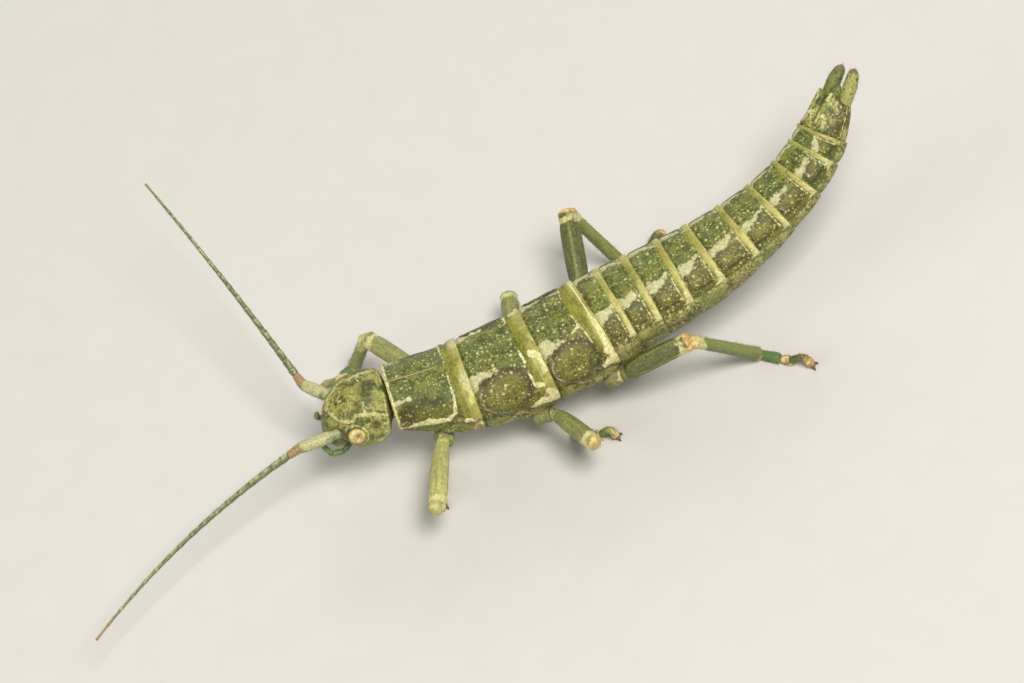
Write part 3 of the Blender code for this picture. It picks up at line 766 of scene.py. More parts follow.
class Finish:
    """A procedural finish, built up in layers over its first colour. Sizes are in millimetres."""

    def __init__(self, name):
        self.material = bpy.data.materials.new(name)
        self.material.use_nodes = True
        self.links = self.material.node_tree.links
        self.nodes = self.material.node_tree.nodes
        self.shader = self.nodes["Principled BSDF"]
        self.place = self.nodes.new("ShaderNodeTexCoord").outputs["Object"]
        self.colour = None

    def node(self, kind, inputs, **settings):
        """Add a node; its inputs are numbers, colours or the outputs of other nodes."""
        node = self.nodes.new(kind)
        for key, value in settings.items():
            setattr(node, key, value)
        for key, value in inputs.items():
            if isinstance(value, bpy.types.NodeSocket):
                self.links.new(value, node.inputs[key])
            else:
                node.inputs[key].default_value = value
        return node

    def mark(self, name):
        """A mark carried by the mesh."""
        return self.node("ShaderNodeAttribute", {}, attribute_name=name).outputs["Fac"]

    def noise(self, size, detail=4.0):
        """Cloudy noise from 0 to 1."""
        inputs = {"Vector": self.place, "Scale": 1 / (size * MM), "Detail": detail, "Roughness": 0.6}
        return self.node("ShaderNodeTexNoise", inputs).outputs["Fac"]

    def fibres(self, along, *across):
        """Fine lines of noise that run along one mark and lie side by side across the others."""
        inputs = {1 + i: self.mark(name) for i, name in enumerate(across)}
        place = self.node("ShaderNodeCombineXYZ", {0: self.times(self.mark(along), 0.12), **inputs})
        inputs = {"Vector": place.outputs[0], "Scale": 14.0, "Detail": 3.0, "Roughness": 0.6}
        return self.node("ShaderNodeTexNoise", inputs).outputs["Fac"]

    def maths(self, operation, first, second=0.0):
        """A sum on two numbers."""
        return self.node("ShaderNodeMath", {0: first, 1: second}, operation=operation).outputs[0]

    def times(self, *shares):
        """Several shares together."""
        result = shares[0]
        for share in shares[1:]:
            result = self.maths("MULTIPLY", result, share)
        return result

    def total(self, *terms):
        """Several values added up, each with its weight."""
        result = self.times(*terms[-1])
        for term in terms[-2::-1]:
            result = self.maths("ADD", self.times(*term), result)
        return result

    def step(self, value, low, high, start=0.0, end=1.0):
        """A smooth change from start to end as the value goes from low to high."""
        inputs = {"Value": value, "From Min": low, "From Max": high, "To Min": start, "To Max": end}
        return self.node("ShaderNodeMapRange", inputs, interpolation_type="SMOOTHSTEP").outputs[0]

    def dots(self, size, kept, radius):
        """Round dots in some of the cells of a scatter, of many radii."""
        inputs = {"Vector": self.place, "Scale": 1 / (WOBBLE_SIZE * MM), "Detail": 2.0}
        push = self.node("ShaderNodeTexNoise", inputs)
        inputs = {0: push.outputs["Color"], 1: (WOBBLE * MM,) * 3, 2: self.place}
        moved = self.node("ShaderNodeVectorMath", inputs, operation="MULTIPLY_ADD").outputs[0]
        cells = self.node("ShaderNodeTexVoronoi", {"Vector": moved, "Scale": 1 / (size * MM)})
        luck = self.node("ShaderNodeSeparateColor", {"Color": cells.outputs["Color"]}).outputs[0]
        reach = self.step(luck, 1 - kept, 1.0, 0.0, radius / size)
        glow = self.step(luck, 1 - kept, 1.0, 0.45, 1.0)
        depth = self.maths("SUBTRACT", reach, cells.outputs["Distance"])
        return self.times(self.step(depth, -0.05, 0.12), glow)

    def ragged(self, name, edge, wander, amount):
        """How far a mark covers the ground, with its edge made ragged by noise."""
        moved = self.maths("ADD", self.mark(name), self.step(wander, *NOISE_RANGE, -amount, amount))
        return self.step(moved, -edge, edge)

    def mix(self, share, under, over):
        """One colour over another, both in linear light."""
        under, over = ((*tint, 1.0) if isinstance(tint, tuple) else tint for tint in (under, over))
        return self.node("ShaderNodeMix", {0: share, 6: under, 7: over}, data_type="RGBA").outputs[2]

    def two(self, value, low, high, under, over):
        """From one colour to another as a value goes from low to high."""
        return self.mix(self.step(value, low, high), under, over)

    def lay(self, share, over):
        """Lay a colour over the layers so far."""
        self.colour = self.mix(share, self.colour, over)

    def done(self, grain, smoothest, roughest, height, depth):
        """Join the layers to the shader. Grain sets how rough it is, and depth is the bump's height."""
        raised = self.node("ShaderNodeBump", {"Height": height, "Distance": depth * MM, "Strength": 1.0})
        rough = self.step(grain, *NOISE_RANGE, smoothest, roughest)
        ends = {"Base Color": self.colour, "Roughness": rough, "Normal": raised.outputs[0]}
        for name, socket in ends.items():
            self.links.new(socket, self.shader.inputs[name])
        return self.material


# %% Skin of the trunk and head
f = Finish("shell")
mottle, grain, fine, wander = f.noise(0.40, 6.0), f.noise(0.10), f.noise(0.035, 2.0), f.noise(0.26, 3.0)
wide_noise, fibres = f.noise(1.1, 2.0), f.fibres("side", "hind")
big_dots, small_dots = f.dots(0.170, 0.85, 0.062), f.dots(0.084, 0.90, 0.037)
pattern = f.total((mottle, 0.55), (grain, 0.45))
side, below, hind, dark, tone = (f.mark(name) for name in ("side", "below", "hind", "dark", "tone"))
# The ground: olive, mottled with yellow green, browner down the sides.
f.colour = f.two(pattern, 0.41, 0.59, (0.056, 0.068, 0.011), (0.205, 0.215, 0.036))
f.lay(f.step(wide_noise, 0.42, 0.62, 0.0, 0.45), (0.095, 0.135, 0.036))
f.lay(f.step(side, 0.9, 1.7, 0.0, 0.40), (0.135, 0.115, 0.020))
green = f.ragged("green", 0.10, mottle, 0.16)
light_green = f.two(grain, 0.38, 0.62, (0.215, 0.240, 0.055), (0.420, 0.405, 0.105))
f.lay(f.times(green, f.step(pattern, 0.36, 0.56, 0.25, 0.90)), light_green)
f.lay(f.times(f.step(dark, -0.03, 0.06), f.step(grain, 0.35, 0.6, 0.85, 0.25)), (0.075, 0.068, 0.014))
f.lay(f.times(f.step(dark, 0.08, 0.30), f.step(pattern, 0.40, 0.58, 0.05, 0.8)), (0.205, 0.196, 0.026))
brown = f.times(f.ragged("brown", 0.05, grain, 0.05), f.step(mottle, 0.30, 0.65, 1.0, 0.55))
f.lay(brown, (0.058, 0.044, 0.012))
# Softer skin under the edges of the plates.
soft = f.two(pattern, 0.42, 0.58, (0.098, 0.090, 0.024), (0.335, 0.320, 0.105))
soft = f.mix(f.step(wide_noise, 0.45, 0.60, 0.0, 0.5), soft, (0.215, 0.250, 0.060))
f.lay(f.step(below, -0.02, 0.10), soft)
# The raised bands: green in front, yellow behind, brighter on the thorax and towards the sides.
band_share = f.ragged("band", 0.05, grain, 0.03)
stripes = f.total((fibres, 0.4), (pattern, 0.6))
band_green = f.two(stripes, 0.40, 0.60, (0.135, 0.142, 0.013), (0.290, 0.280, 0.038))
crest = f.mix(tone, (0.480, 0.445, 0.130), (0.720, 0.665, 0.235))
reach = f.mix(tone, f.step(hind, 0.25, 0.07), f.step(hind, 0.50, 0.12))
patches = f.maths("ADD", f.step(wide_noise, 0.42, 0.60, 0.0, 0.75), f.step(tone, 0.6, 1.0, 0.5, 0.10))
yellow = f.times(reach, f.step(stripes, 0.36, 0.56, 0.35, 1.0), f.step(side, 0.1, 1.0, 0.35, 1.0),
                 f.step(patches, 0.0, 0.5, 0.30, 1.0))
f.lay(band_share, f.mix(yellow, band_green, crest))
# Pale blotches, cream lines and rims.
f.lay(f.ragged("white", 0.045, wander, 0.08),
      f.two(grain, 0.35, 0.65, (0.400, 0.398, 0.180), (0.620, 0.608, 0.345)))
dull = f.two(grain, 0.35, 0.65, (0.380, 0.365, 0.120), (0.620, 0.600, 0.270))
bright = f.two(grain, 0.35, 0.65, (0.540, 0.505, 0.200), (0.860, 0.820, 0.460))
f.lay(f.ragged("cream", 0.020, grain, 0.016), f.mix(tone, dull, bright))
# Dots, fewer on the head.
off_band = f.step(f.maths("ADD", band_share, f.times(brown, 0.5)), 0.0, 1.0, 1.0, 0.15)
dots = f.maths("MAXIMUM", big_dots, f.times(small_dots, 0.8))
dot_colour = f.two(grain, 0.35, 0.65, (0.360, 0.380, 0.140), (0.640, 0.635, 0.300))
kept = f.times(f.step(f.mark("bare"), 0.0, 1.0, 1.0, 0.35), f.step(wander, 0.35, 0.6, 0.70, 1.0))
f.lay(f.times(dots, off_band, kept), dot_colour)
# Thin lines last.
# Painted highlight: pale grey along the lower rim of each oval patch, standing in for the shine on its raised
# edge.
rim = f.times(f.ragged("rim", 0.02, grain, 0.02), f.step(grain, 0.38, 0.60, 0.10, 0.9))
f.lay(rim, (0.350, 0.345, 0.230))
from_middle = f.maths("ABSOLUTE", f.mark("middle"))
spine = f.times(f.step(f.mark("spine"), 0.0, 0.1), f.step(wander, 0.30, 0.45, 0.35, 1.0))
f.lay(f.times(spine, f.step(from_middle, 0.060, 0.030)), (0.080, 0.062, 0.020))
f.lay(f.times(spine, f.step(from_middle, 0.032, 0.016)), (0.440, 0.350, 0.150))
f.lay(f.ragged("buff", 0.02, grain, 0.018),
      f.two(fine, 0.4, 0.6, (0.220, 0.140, 0.045), (0.500, 0.395, 0.165)))
f.lay(f.ragged("furrow", 0.015, grain, 0.01), (0.042, 0.034, 0.010))
# Painted shadow: a dark line along the hind edge of every ring, where its band turns down over the next ring.
f.lay(f.step(hind, 0.022, 0.004, 0.0, 0.6), (0.060, 0.052, 0.018))
height = f.maths("ADD", f.total((grain, 0.6), (fine, 0.3), (dots, 0.25)), f.times(fibres, band_share, 0.25))
f.shader.inputs["Specular IOR Level"].default_value = 0.4
SHELL = f.done(grain, 0.38, 0.58, height, 0.040)

# %% Legs
f = Finish("leg")
mottle, grain, fine = f.noise(0.22, 5.0), f.noise(0.07), f.noise(0.03, 2.0)
fibres = f.fibres("run", "wide", "high")
dots, dashes = f.dots(0.085, 0.75, 0.030), f.dots(0.12, 0.45, 0.034)
pattern = f.total((fibres, 0.30), (grain, 0.35), (mottle, 0.35))
f.colour = f.two(pattern, 0.38, 0.62, (0.044, 0.050, 0.014), (0.112, 0.124, 0.036))
f.lay(f.step(mottle, 0.45, 0.65, 0.0, 0.5), (0.075, 0.105, 0.045))
f.lay(f.mark("pale"), f.two(pattern, 0.38, 0.60, (0.330, 0.350, 0.110), (0.640, 0.630, 0.250)))
f.lay(f.times(f.ragged("keel", 0.05, grain, 0.05), 0.5), (0.300, 0.310, 0.062))
f.lay(f.times(dots, 0.55), (0.420, 0.425, 0.170))
f.lay(f.times(dashes, 0.45), (0.090, 0.075, 0.025))
f.lay(f.ragged("teal", 0.15, grain, 0.1), f.mix(grain, (0.050, 0.105, 0.030), (0.150, 0.245, 0.080)))
f.lay(f.times(f.ragged("cream", 0.08, mottle, 0.08), 0.9),
      f.two(grain, 0.3, 0.7, (0.520, 0.500, 0.200), (0.800, 0.750, 0.340)))
knee = f.two(mottle, 0.38, 0.62, (0.500, 0.280, 0.080), (0.880, 0.640, 0.260))
light_knee = f.two(mottle, 0.38, 0.62, (0.400, 0.350, 0.125), (0.660, 0.600, 0.270))
knee = f.mix(f.step(f.mark("pale"), 0.1, 0.7), knee, light_knee)
f.lay(f.times(f.ragged("buff", 0.07, grain, 0.06), f.step(mottle, 0.25, 0.5, 0.55, 1.0)), knee)
f.lay(f.ragged("furrow", 0.02, grain, 0.02), (0.110, 0.062, 0.020))
f.shader.inputs["Specular IOR Level"].default_value = 0.4
LEG = f.done(grain, 0.38, 0.58, f.total((grain, 0.6), (fine, 0.4)), 0.025)

# %% Feelers, tail feelers and mouthparts
f = Finish("feeler")
mottle, grain, fine, thin = f.noise(0.22, 5.0), f.noise(0.07), f.noise(0.025, 2.0), f.mark("pale")
f.colour = f.two(mottle, 0.38, 0.62, (0.120, 0.150, 0.060), (0.215, 0.255, 0.110))
f.lay(f.times(thin, 0.8), f.two(mottle, 0.38, 0.62, (0.085, 0.135, 0.060), (0.140, 0.190, 0.090)))
f.lay(f.ragged("teal", 0.10, grain, 0.05), (0.190, 0.270, 0.130))
# Cream marks. On the whip these include a painted highlight along the top.
f.lay(f.ragged("cream", 0.06, mottle, 0.06),
      f.two(grain, 0.35, 0.65, (0.330, 0.325, 0.140), (0.560, 0.545, 0.270)))
f.lay(f.times(f.dots(0.09, 0.6, 0.030), f.step(thin, 0.0, 1.0, 0.45, 0.0)), (0.120, 0.085, 0.035))
f.lay(f.ragged("buff", 0.04, grain, 0.04), f.mix(grain, (0.190, 0.115, 0.045), (0.460, 0.330, 0.145)))
# Dark lines at joints and folds. On the whip these include painted shade along the underside.
f.lay(f.ragged("furrow", 0.02, grain, 0.01), (0.095, 0.065, 0.026))
FEELER = f.done(grain, 0.30, 0.46, f.total((grain, 0.6), (fine, 0.4)), 0.018)

f = Finish("tail_feeler")
mottle, grain, fine = f.noise(0.22, 5.0), f.noise(0.07), f.noise(0.025, 2.0)
f.colour = f.two(mottle, 0.38, 0.62, (0.055, 0.085, 0.012), (0.140, 0.180, 0.034))
f.lay(f.times(f.dots(0.12, 0.5, 0.036), 0.4), (0.300, 0.310, 0.110))
f.lay(f.times(f.ragged("teal", 0.10, mottle, 0.08), 0.6), (0.045, 0.110, 0.030))
f.lay(f.times(f.ragged("cream", 0.08, mottle, 0.14), f.step(f.mark("pale"), 0.0, 1.0, 0.25, 1.0)),
      f.two(grain, 0.35, 0.65, (0.260, 0.255, 0.050), (0.500, 0.480, 0.160)))
f.lay(f.ragged("buff", 0.06, grain, 0.05), (0.190, 0.135, 0.075))
CERCUS = f.done(grain, 0.36, 0.55, f.total((grain, 0.6), (fine, 0.4)), 0.025)

f = Finish("mouthparts")
mottle, grain, fine = f.noise(0.20, 5.0), f.noise(0.06), f.noise(0.025, 2.0)
f.colour = f.two(mottle, 0.38, 0.62, (0.110, 0.130, 0.030), (0.300, 0.305, 0.080))
f.lay(f.mark("pale"), f.two(mottle, 0.38, 0.62, (0.060, 0.135, 0.040), (0.150, 0.260, 0.080)))
f.lay(f.ragged("cream", 0.05, grain, 0.05), (0.360, 0.350, 0.120))
f.lay(f.ragged("buff", 0.03, grain, 0.02), (0.180, 0.120, 0.045))
MOUTH = f.done(grain, 0.36, 0.55, f.total((grain, 0.6), (fine, 0.4)), 0.015)

# %% Eyes, claws and bristles
f = Finish("eye")
facets = f.node("ShaderNodeTexVoronoi", {"Vector": f.place, "Scale": 1 / (0.024 * MM)}).outputs["Distance"]
mottle, grain = f.noise(0.16, 4.0), f.noise(0.05)
f.colour = f.two(mottle, 0.40, 0.62, (0.560, 0.430, 0.150), (0.820, 0.700, 0.310))
# Painted pseudopupil: a dark spot fixed where the eye faces the camera.
f.lay(f.times(f.ragged("dark", 0.12, grain, 0.04), 0.85), (0.120, 0.055, 0.018))
f.lay(f.times(f.ragged("furrow", 0.04, grain, 0.02), 0.8), (0.110, 0.080, 0.030))
f.shader.inputs["Specular IOR Level"].default_value = 0.35
EYE = f.done(grain, 0.32, 0.42, facets, 0.003)

f = Finish("claw")
grain = f.noise(0.06)
f.colour = f.two(f.mark("share"), 0.1, 0.8, (0.260, 0.165, 0.065), (0.050, 0.024, 0.012))
CLAW = f.done(grain, 0.26, 0.40, grain, 0.004)

f = Finish("bristle")
grain = f.noise(0.12)
f.colour = f.two(grain, 0.35, 0.65, (0.170, 0.145, 0.065), (0.430, 0.390, 0.220))
f.lay(f.step(f.mark("share"), 0.2, 1.0, 0.0, 0.6), (0.130, 0.080, 0.030))
BRISTLE = f.done(grain, 0.35, 0.5, grain, 0.002)
print("finishes:", len(bpy.data.materials))

# %% [markdown]
# ## Laying the skin over the trunk
# The relief is added, the grid is rolled up, and the list of rolled grids is kept: the bristles
# take their roots from it later.

# %% Trunk and head
grids = {}                # every rolled grid's points and map, for the bristles
skins = []


def lay(name, points, marks, patch, finish):
    """Roll a grid into skin and remember where its points are."""
    grids[name] = (points, map_places(points, patch))
    skins.append(rolled_grid(name, points, marks, patch, finish))
    return skins[-1]


lay("trunk", skin_points, marks, (0.003, 0.003, 0.997, 0.555), SHELL)
print("trunk:", len(skins[0].data.polygons), "faces")

# %% [markdown]
# ## Limbs
# Legs, feelers and the rest are the same kind of tube: a line through a few places, with a
# radius along it, and round ends that sink into the next segment, as an insect's joints do.


# %% One limb segment
CAP_ROWS = 6
# How pale each limb is, added up from every word in its name; hips have a tone of their own.
HIP_TONE = 0.32
TONES = {"cercus_left": 0.85, "palp": 1.0, "whip": 1.0, "front_left": 0.85, "front_right": 0.45, "mid": 0.38,
         "hind": 0.08, "tibia": 0.28, "trochanter": 0.15}


def limb(name, line, knots, radii, finish, patch, found=None, sides=24, step=0.09, flat=1.0, cap=None,
         shape=None, up=(0.0, 0.0, 1.0)):
    """A tube along a line. found and shape work out marks, or a growth, from places and angles.

    flat is the segment's height over its width, and cap how long its round ends are.
    """
    line = np.array([tuple(place) for place in line], float)
    runs = np.concatenate([[0], np.cumsum(np.linalg.norm(np.diff(line, axis=0), axis=1))])
    length = runs[-1]
    caps = cap or [min(radius, 0.35 * length) for radius in (radii[0], radii[-1])]
    end = 1 - np.cos(np.linspace(0, np.pi / 2, CAP_ROWS))
    count = max(3, round((length - sum(caps)) / step))
    places = np.concatenate([caps[0] * end, np.linspace(caps[0], length - caps[1], count)[1:-1],
                             length - caps[1] * end[::-1]])
    centre = np.stack([curve(places, runs, line[:, axis]) for axis in range(3)], 1)
    angle = np.linspace(0, 2 * np.pi, sides + 1)[None, :]
    radius = curve(places / length, knots, radii)
    for gap, cap_length in zip((places, length - places), caps):
        radius = radius * np.sqrt(1 - (1 - np.clip(gap / cap_length, 0, 1)) ** 2)
    radius, share = radius[:, None], (places / length)[:, None]
    if shape:
        radius = radius * shape(share, angle)
    points = swept(centre, up, radius, angle, flat)
    marks = dict.fromkeys(("teal", "cream", "buff", "furrow", "keel"), np.array(OUTSIDE))
    tone = HIP_TONE if name.startswith("coxa") else sum(TONES[word] for word in TONES if word in name)
    marks["pale"] = np.array(min(1, tone))
    marks["run"], marks["wide"], marks["high"] = places[:, None], radius * np.cos(angle), radius * np.sin(angle)
    marks.update(found(share, angle, length) if found else {})
    return lay(name, points, marks, patch, finish)


# %% Where the legs go
LEGS = {
    "front_left": {"at": 0.50, "hip": (-0.20, 1.36, -0.92), "femur": (-0.98, 2.86, 0.12),
                   "tibia": (0.45, -2.86, 0.0), "tarsus": (-0.20, 1.36)},
    "mid_left": {"at": 1.51, "hip": (1.02, 1.70, -0.96), "femur": (0.92, 2.13, 0.44),
                 "tibia": (-0.40, -2.02, 0.0), "tarsus": (1.20, 0.62)},
    "hind_left": {"at": 2.68, "hip": (0.80, 1.62, -0.92), "femur": (2.57, 0.38, 1.01),
                  "tibia": (2.17, -0.39, 0.0), "tarsus": (1.53, 1.12)},
    "front_right": {"at": 0.50, "hip": (0.05, 1.30, -0.92), "femur": (-1.60, 2.35, 0.40),
                    "tibia": (-0.75, 0.60, 0.0), "tarsus": (-1.35, -0.60)},
    "mid_right": {"at": 1.51, "hip": (0.62, 1.78, -0.98), "femur": (0.29, 2.30, -0.30),
                  "tibia": (0.35, -1.75, 0.0), "tarsus": (1.25, 0.60)},
    "hind_right": {"at": 2.68, "hip": (0.44, 1.90, -0.84), "femur": (0.56, 3.08, 1.22),
                   "tibia": (1.34, -1.05, 0.0), "tarsus": (1.60, 0.90)},
}
HIP_ROOT_BACK, HIP_ROOT_OUT, HIP_ROOT_DROP = 0.3, 0.8, 0.22
ANKLE_HEIGHT = 0.22


def leg_places(name):
    """Hip root, hip end, knee, ankle and toe of one leg."""
    leg = LEGS[name]
    side = -1 if name.endswith("left") else 1
    centre, _ = station(leg["at"])

    def outward(back, out, up):
        return Vector((back, side * out, up))

    hip_end = centre + outward(*leg["hip"])
    back, out, up = leg["hip"]
    hip_start = centre + outward(back * HIP_ROOT_BACK, out * HIP_ROOT_OUT, up - HIP_ROOT_DROP)
    knee = hip_end + outward(*leg["femur"])
    ankle = knee + outward(*leg["tibia"])
    ankle.z = ANKLE_HEIGHT
    return hip_start, hip_end, knee, ankle, ankle + outward(*leg["tarsus"], 0.0)


# %% Marks of a leg's segments
def coxa_marks(share, angle, length):
    """A brown line round the end of the hip, under a pale lip."""
    return {
        "cream": 0.02 - np.abs(share - 0.90) * length + 0.03 * np.cos(2 * angle) - 0.03,
        "furrow": 0.015 - np.abs(share - 0.78) * length,
    }


def femur_marks(share, angle, length):
    """Yellow green keels, a pale zone before the knee, and a buff knee with dark folds."""
    ends = 0.2 * smooth(share, 0.8, 0.9) + 0.2 * (1 - smooth(share, 0.03, 0.15))
    lobe = 0.05 * np.cos(2 * angle) + 0.03 * np.cos(3 * angle + 1)
    folds = np.maximum(
        0.008 - np.abs(share - 0.915 - 0.01 * np.cos(3 * angle)) * length,
        0.008 - np.abs(share - 0.955) * length,
    )
    return {
        "buff": (share - 0.920) * length + lobe,
        "cream": 0.13 - np.abs(share - 0.86) * length + lobe,
        "keel": 0.07 - np.abs(np.sin(2 * angle)) * 0.30 - ends,
        "furrow": folds - 0.03 * (1 + np.cos(3 * angle + 2)),
    }


def tibia_marks(share, angle, length):
    """Buff at the knee, then a long pale zone, and a buff end."""
    lobe = 0.05 * np.cos(2 * angle + 0.5)
    from_knee, from_end = share * length, (1 - share) * length
    return {
        "buff": np.maximum(0.20 - from_knee, 0.15 - from_end) + lobe,
        "teal": -0.03 + 0.06 * np.cos(angle + 1),
        "cream": 0.62 - from_knee + 2 * lobe,
        "keel": 0.16 - np.abs(np.sin((angle - 1.6) / 2)) * 0.25,
    }


def foot_marks(share, angle, length):
    """Teal above, with a cream sole and brown joints."""
    return {
        "teal": 0.18 + 0.2 * np.sin(angle),
        "cream": -0.12 * np.sin(angle) - 0.06,
        "furrow": 0.01 - np.minimum(share, 1 - share) * length * 0.5,
    }


def second_foot_marks(share, angle, length):
    """Pale brown folds, a little teal at the root."""
    return {
        "teal": 0.10 - share * 0.5,
        "cream": -0.12 * np.sin(angle) + 0.02,
        "buff": 0.04 - 0.10 * np.cos(9 * share) * np.cos(angle),
        "furrow": 0.015 - np.abs(share - 0.55) * length,
    }


def toe_marks(share, angle, length):
    """Olive, and brown towards the claws."""
    return {"teal": 0.05 - share * 0.4, "cream": -0.12 * np.sin(angle) - 0.10 - 0.1 * share,
            "buff": (share - 0.72) * 0.5 + 0.04 * np.sin(angle)}


def pad_marks(share, angle, length):
    """Cream all over."""
    return {"cream": np.array(0.1)}


def crumpled(share, angle):
    """Uneven folds, as on a hip."""
    folds = 0.09 * np.sin(15 * share + 1.5 * np.sin(2 * angle)) * (0.6 + 0.4 * np.cos(3 * angle + 1))
    return 1 + folds - 0.07 * bump(share - 0.78, 0.05)


def keeled(share, angle):
    """A ridge along four sides of a thigh, and a knee of two lobes."""
    ridges = 0.040 * np.cos(4 * angle) * smooth(share, 0.05, 0.3) * (1 - smooth(share, 0.75, 0.90))
    lobes = 0.035 * np.cos(2 * angle) * smooth(share, 0.88, 0.95)
    return 1 + ridges + lobes - 0.04 * bump(share - 0.895, 0.012)


# %% Six legs
HIP_RADII = {"front": (0.46, 0.40, 0.28, 0.20), "mid": (0.32, 0.30, 0.26, 0.21),
             "hind": (0.38, 0.37, 0.30, 0.23)}
THIGH_RADII = {
    "front": (0.23, 0.27, 0.315, 0.325, 0.305, 0.315, 0.25),
    "mid": (0.23, 0.27, 0.305, 0.31, 0.295, 0.315, 0.25),
    "hind": (0.25, 0.315, 0.365, 0.355, 0.325, 0.345, 0.28),
}
SOLE_HEIGHT, PAD_HEIGHT, TOE_SINK = 0.165, 0.055, 0.10
LEG_MAP, LEG_STRIP = 0.560, 0.051                       # where the legs begin on the map, and one's share
THIGH_BOW = 0.05
feet = {}
for number, name in enumerate(LEGS):
    pair = name.split("_")[0]
    hip_start, hip_end, knee, ankle, toe = leg_places(name)
    coxa_run = (hip_end - hip_start).normalized()
    femur_run = (knee - hip_end).normalized()
    tibia_run = (ankle - knee).normalized()
    bow = Vector((0, 0, THIGH_BOW))
    run = toe - ankle
    ahead = run.normalized()
    sole = Vector((0, 0, SOLE_HEIGHT - ANKLE_HEIGHT))
    first, second, third = ankle + run * 0.44 + sole, ankle + run * 0.62 + sole, toe + Vector((0, 0, -TOE_SINK))
    arch = [second.lerp(third, share) + Vector((0, 0, lift))
            for share, lift in ((0.30, 0.20), (0.60, 0.33), (0.86, 0.26))]
    # Each segment's line, the knots and radii along it, its stretch of the map, and its marks.
    segments = {
        "coxa": ([hip_start, hip_end + coxa_run * 0.10], (0, 0.3, 0.7, 1), HIP_RADII[pair],
                 (0.003, 0.13), coxa_marks, {"cap": (0.2, 0.20), "shape": crumpled, "step": 0.04}),
        "trochanter": ([hip_end - coxa_run * 0.06, hip_end + femur_run * 0.42], (0, 0.4, 1),
                       (0.20, 0.225, 0.19), (0.135, 0.175), coxa_marks, {}),
        "femur": ([hip_end + femur_run * 0.16, hip_end.lerp(knee, 0.35) + bow, hip_end.lerp(knee, 0.7) + bow,
                   knee + femur_run * 0.10], (0, 0.12, 0.42, 0.72, 0.86, 0.94, 1), THIGH_RADII[pair],
                  (0.18, 0.48), femur_marks, {"cap": (0.16, 0.24), "shape": keeled}),
        "tibia": ([knee - tibia_run * 0.02, knee.lerp(ankle, 0.5), ankle + tibia_run * 0.05],
                  (0, 0.07, 0.16, 0.50, 0.85, 0.95, 1), (0.21, 0.26, 0.215, 0.220, 0.230, 0.245, 0.20),
                  (0.485, 0.73), tibia_marks, {"cap": (0.18, 0.16)}),
        "foot_first": ([ankle - ahead * 0.05, ankle.lerp(first, 0.5), first], (0, 0.3, 0.8, 1),
                       (0.15, 0.165, 0.19, 0.17), (0.735, 0.83), foot_marks, {"sides": 20, "step": 0.07}),
        "foot_second": ([first - ahead * 0.07, second], (0, 0.35, 0.8, 1), (0.14, 0.15, 0.185, 0.16),
                        (0.892, 0.920), second_foot_marks, {"sides": 20, "step": 0.05}),
        "foot_third": ([second - ahead * 0.06, *arch, third], (0, 0.3, 0.7, 0.90, 1),
                       (0.13, 0.125, 0.145, 0.160, 0.12), (0.924, 0.995), toe_marks,
                       {"sides": 20, "step": 0.06, "cap": (0.1, 0.10)}),
    }
    for part, share, patch in (("first", 0.36, (0.836, 0.862)), ("second", 0.58, (0.864, 0.890))):
        under = ankle + run * share
        pad = Vector((under.x, under.y, PAD_HEIGHT))
        segments[f"foot_pad_{part}"] = ([pad - ahead * 0.10, pad + ahead * 0.16], (0, 0.5, 1),
                                        (0.10, 0.15, 0.10), patch, pad_marks,
                                        {"sides": 16, "step": 0.05, "flat": 0.5})
    low = LEG_MAP + LEG_STRIP * number
    for part, (line, knots, radii, (left, right), found, settings) in segments.items():
        limb(f"{part}_{name}", line, knots, radii, LEG, (left, low + 0.002, right, low + 0.049), found,
             **settings)
    feet[name] = (third, ahead)
print("leg segments:", len(skins) - 1)

# %% [markdown]
# ## Feelers
# A thick first joint, a short second one, and a whip of many short segments, each a little wider
# at its end and ringed by a paler joint.

# %% Two feelers
FEELERS = {
    "left": {"scape": (-1.50, -0.06, 0.05), "start": (-0.95, -0.25, -0.10), "end": (-0.80, -0.58, -0.08)},
    "right": {"scape": (-0.80, 0.92, 0.02), "start": (-0.26, 0.93, 0.20), "end": (-0.34, 0.88, 0.34)},
}
WHIP_LENGTH, WHIP_STEPS = 9.6, 14
SECOND_JOINT = 0.42
FEELER_MAP, FEELER_STRIP = 0.870, 0.036
WHIP_JOINTS = 17


def scape_marks(share, angle, length):
    """Pale above, teal at its root, and brown at its tip."""
    return {
        "cream": 0.10 * np.sin(angle) + 0.10 * smooth(share, 0.2, 0.5) - 0.06,
        "teal": 0.10 - np.abs(share - 0.12),
        "buff": (share - 0.93) * length * 0.6 + 0.03 * np.cos(2 * angle),
        "furrow": 0.012 - np.abs(share - 0.15) * length,
    }


def second_marks(share, angle, length):
    """Buff, darker in its folds."""
    return {"buff": 0.09 + 0.07 * np.cos(2 * np.pi * 4 * share)}


def folded(share, angle):
    """Rings of soft folds."""
    return 1 + 0.05 * np.sin(2 * np.pi * 4 * share + 0.6 * np.cos(angle))


def whip_phase(share):
    """How far a place lies along its own joint of the whip; the joints grow longer outwards."""
    return (share ** 0.85 * WHIP_JOINTS) % 1


def whip_marks(share, angle, length):
    """A pale joint and a brown ring at the end of every segment, a painted highlight as a pale stripe along the
    top, and painted shade as a dark line along the underside.
    """
    phase = whip_phase(share)
    above, below = (np.abs(np.sin((angle - turn) / 2)) for turn in (1.4, 3.9))
    return {
        "buff": np.maximum(0.06 - np.abs(phase - 0.93), share - 0.93),
        # The furrow mark: brown rings at the joints, and painted shade along the underside.
        "furrow": np.maximum(0.03 - np.minimum(phase, 1 - phase), 0.02 - below * 0.3),
        # The cream mark: pale joints, and a painted highlight along the top.
        "cream": np.maximum(0.05 - above * 0.35, 0.05 - np.abs(phase - 0.84)) - 0.3 * (phase > 0.9),
    }


def jointed(share, angle):
    """Each segment of the whip swells towards its end."""
    phase = whip_phase(share)
    swell = (0.10 + 0.15 * share) * smooth(phase, 0.3, 0.9)
    return 1 + swell - 0.22 * smooth(phase, 0.93, 1.0) - 0.10 * (1 - smooth(phase, 0.0, 0.06))


